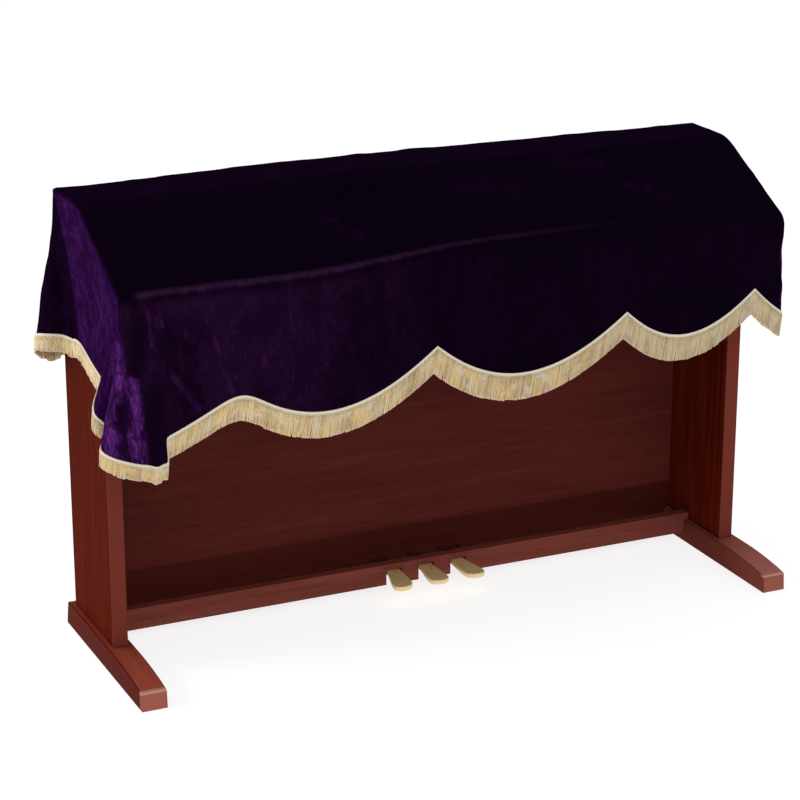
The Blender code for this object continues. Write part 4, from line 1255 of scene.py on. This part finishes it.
def shade_behind_rail(finish, across, depth, height):
    # Painted shade: the panel darker below BAND_TOP_Z, behind the rail.
    band = finish.fade(height, BAND_TOP_Z - 0.004, BAND_TOP_Z + 0.006)
    return [(band * 0.62, (0.0310, 0.0046, 0.0032))]


rail_tones = (0.120, 0.0270, 0.0190), (0.160, 0.0390, 0.0290), (0.196, 0.0550, 0.0410)
panel_tones = (0.066, 0.0116, 0.0084), (0.088, 0.0156, 0.0112), (0.104, 0.0200, 0.0146)
dress(["pedal_rail"], mahogany("mahogany_rail", "X", rail_tones, 0.33, 5.0, add=rail_edge_highlight))
dress(["back_panel"], mahogany("mahogany_panel", "X", panel_tones, 0.40, 14.0, add=shade_behind_rail))

# %% [markdown]
# ## Brass and steel
#
# The pedals are brass that feet have polished along the middle and dulled at the neck. Polish shows
# as lower roughness with fine scratches, and the tips are painted paler, partly for the polish and
# partly as a painted highlight. Their arms behind the rail and the bracket there are coated in the
# dark red of the wood around them, so that they don't catch the eye.

# %% Metals
def brass_finish():
    finish = Finish("satin_brass", Metallic=0.12, Specular_IOR_Level=0.5)
    spot = finish.place()
    _, along, _ = finish.parts(spot)
    scratches = finish.cloud(spot, (1400.0, 40.0, 1400.0))
    tarnish = finish.cloud(spot, 38.0, 3.0, 0.6, 0.8)
    tip = finish.fade(along, 0.020, 0.085)
    tone = finish.coats(
        (0.76, 0.53, 0.220),
        (finish.band(tarnish, 0.40, 0.70), (0.60, 0.40, 0.160)),
        # Paler tips: partly polish, partly a painted highlight.
        (tip * 0.65, (0.90, 0.71, 0.38)),
        (finish.band(along, 0.100, 0.106), (0.068, 0.0150, 0.0110)),
    )
    return finish.done(tone, 0.40 - 0.14 * tip + 0.16 * scratches, scratches, 0.00005, 0.4)


def steel_finish():
    finish = Finish("coated_steel", Metallic=0.0, Specular_IOR_Level=0.08)
    spot = finish.place()
    peel = finish.cloud(spot, 900.0, 2.0)
    dust = finish.cloud(spot, 60.0)
    tone = finish.blend(dust * 0.6, (0.052, 0.0110, 0.0085), (0.066, 0.0150, 0.0115))
    return finish.done(tone, 0.45 + 0.2 * dust, peel, 0.0001, 0.5)


dress(["pedal_left", "pedal_middle", "pedal_right"], brass_finish())
dress(["pedal_bracket"], steel_finish())

# %% [markdown]
# ## Studio
#
# A pale floor large enough to fill the picture, a bright even room, one large soft lamp on the left
# and a weaker one in front. The lamp on the left lights the side of the velvet, whose glow is also
# painted into its colour, while its front stays almost black.

# %% Floor, room and lamps
def floor_finish():
    glow = {"Emission_Color": (1.0, 1.0, 1.0, 1.0), "Emission_Strength": 0.80}
    finish = Finish("studio_floor", Specular_IOR_Level=0.05, **glow)
    grain = finish.cloud(finish.place(), 60.0)
    finish.feed("Base Color", finish.blend(grain * 0.3, (0.40, 0.40, 0.40), (0.36, 0.36, 0.36)))
    finish.feed("Roughness", 0.75 + 0.1 * grain)
    return finish.material


def soft_lamp(name, place, target, size, power):
    """A square lamp that faces its target."""
    lamp = bpy.data.lights.new(name, "AREA")
    lamp.size = size
    lamp.energy = power
    holder = bpy.data.objects.new(name, lamp)
    heading = np.array(target) - np.array(place)
    turn = math.atan2(heading[0], -heading[1])
    tip = math.atan2(math.hypot(heading[0], heading[1]), -heading[2])
    holder.location = place
    holder.rotation_euler = (tip, 0.0, turn + math.pi)
    bpy.context.scene.collection.objects.link(holder)


FLOOR_HALF = 40.0
ROOM_LIGHT = 0.55
floor_corners = np.array([(-1, -1, 0), (1, -1, 0), (1, 1, 0), (-1, 1, 0)]) * FLOOR_HALF
floor = mesh_piece("studio_floor", floor_corners, [(0, 1, 2, 3)], [floor_finish()])
soft_lamp("key_lamp", (-4.0, 1.3, 1.9), (-0.3, 0.0, 0.6), 2.0, 80.0)
soft_lamp("front_lamp", (-0.6, -4.6, 2.4), (0.0, 0.0, 0.5), 2.6, 55.0)
room = bpy.data.worlds.new("bright_room")
room.use_nodes = True
backdrop = room.node_tree.nodes["Background"].inputs
backdrop["Color"].default_value = (1.0, 1.0, 1.0, 1.0)
backdrop["Strength"].default_value = ROOM_LIGHT
bpy.context.scene.world = room
bpy.context.scene.view_settings.view_transform = "Standard"
print("studio ready")

# %% [markdown]
# ## Update
#
# The scene is brought up to date once more at the end.

# %% Update the scene
bpy.context.view_layer.update()
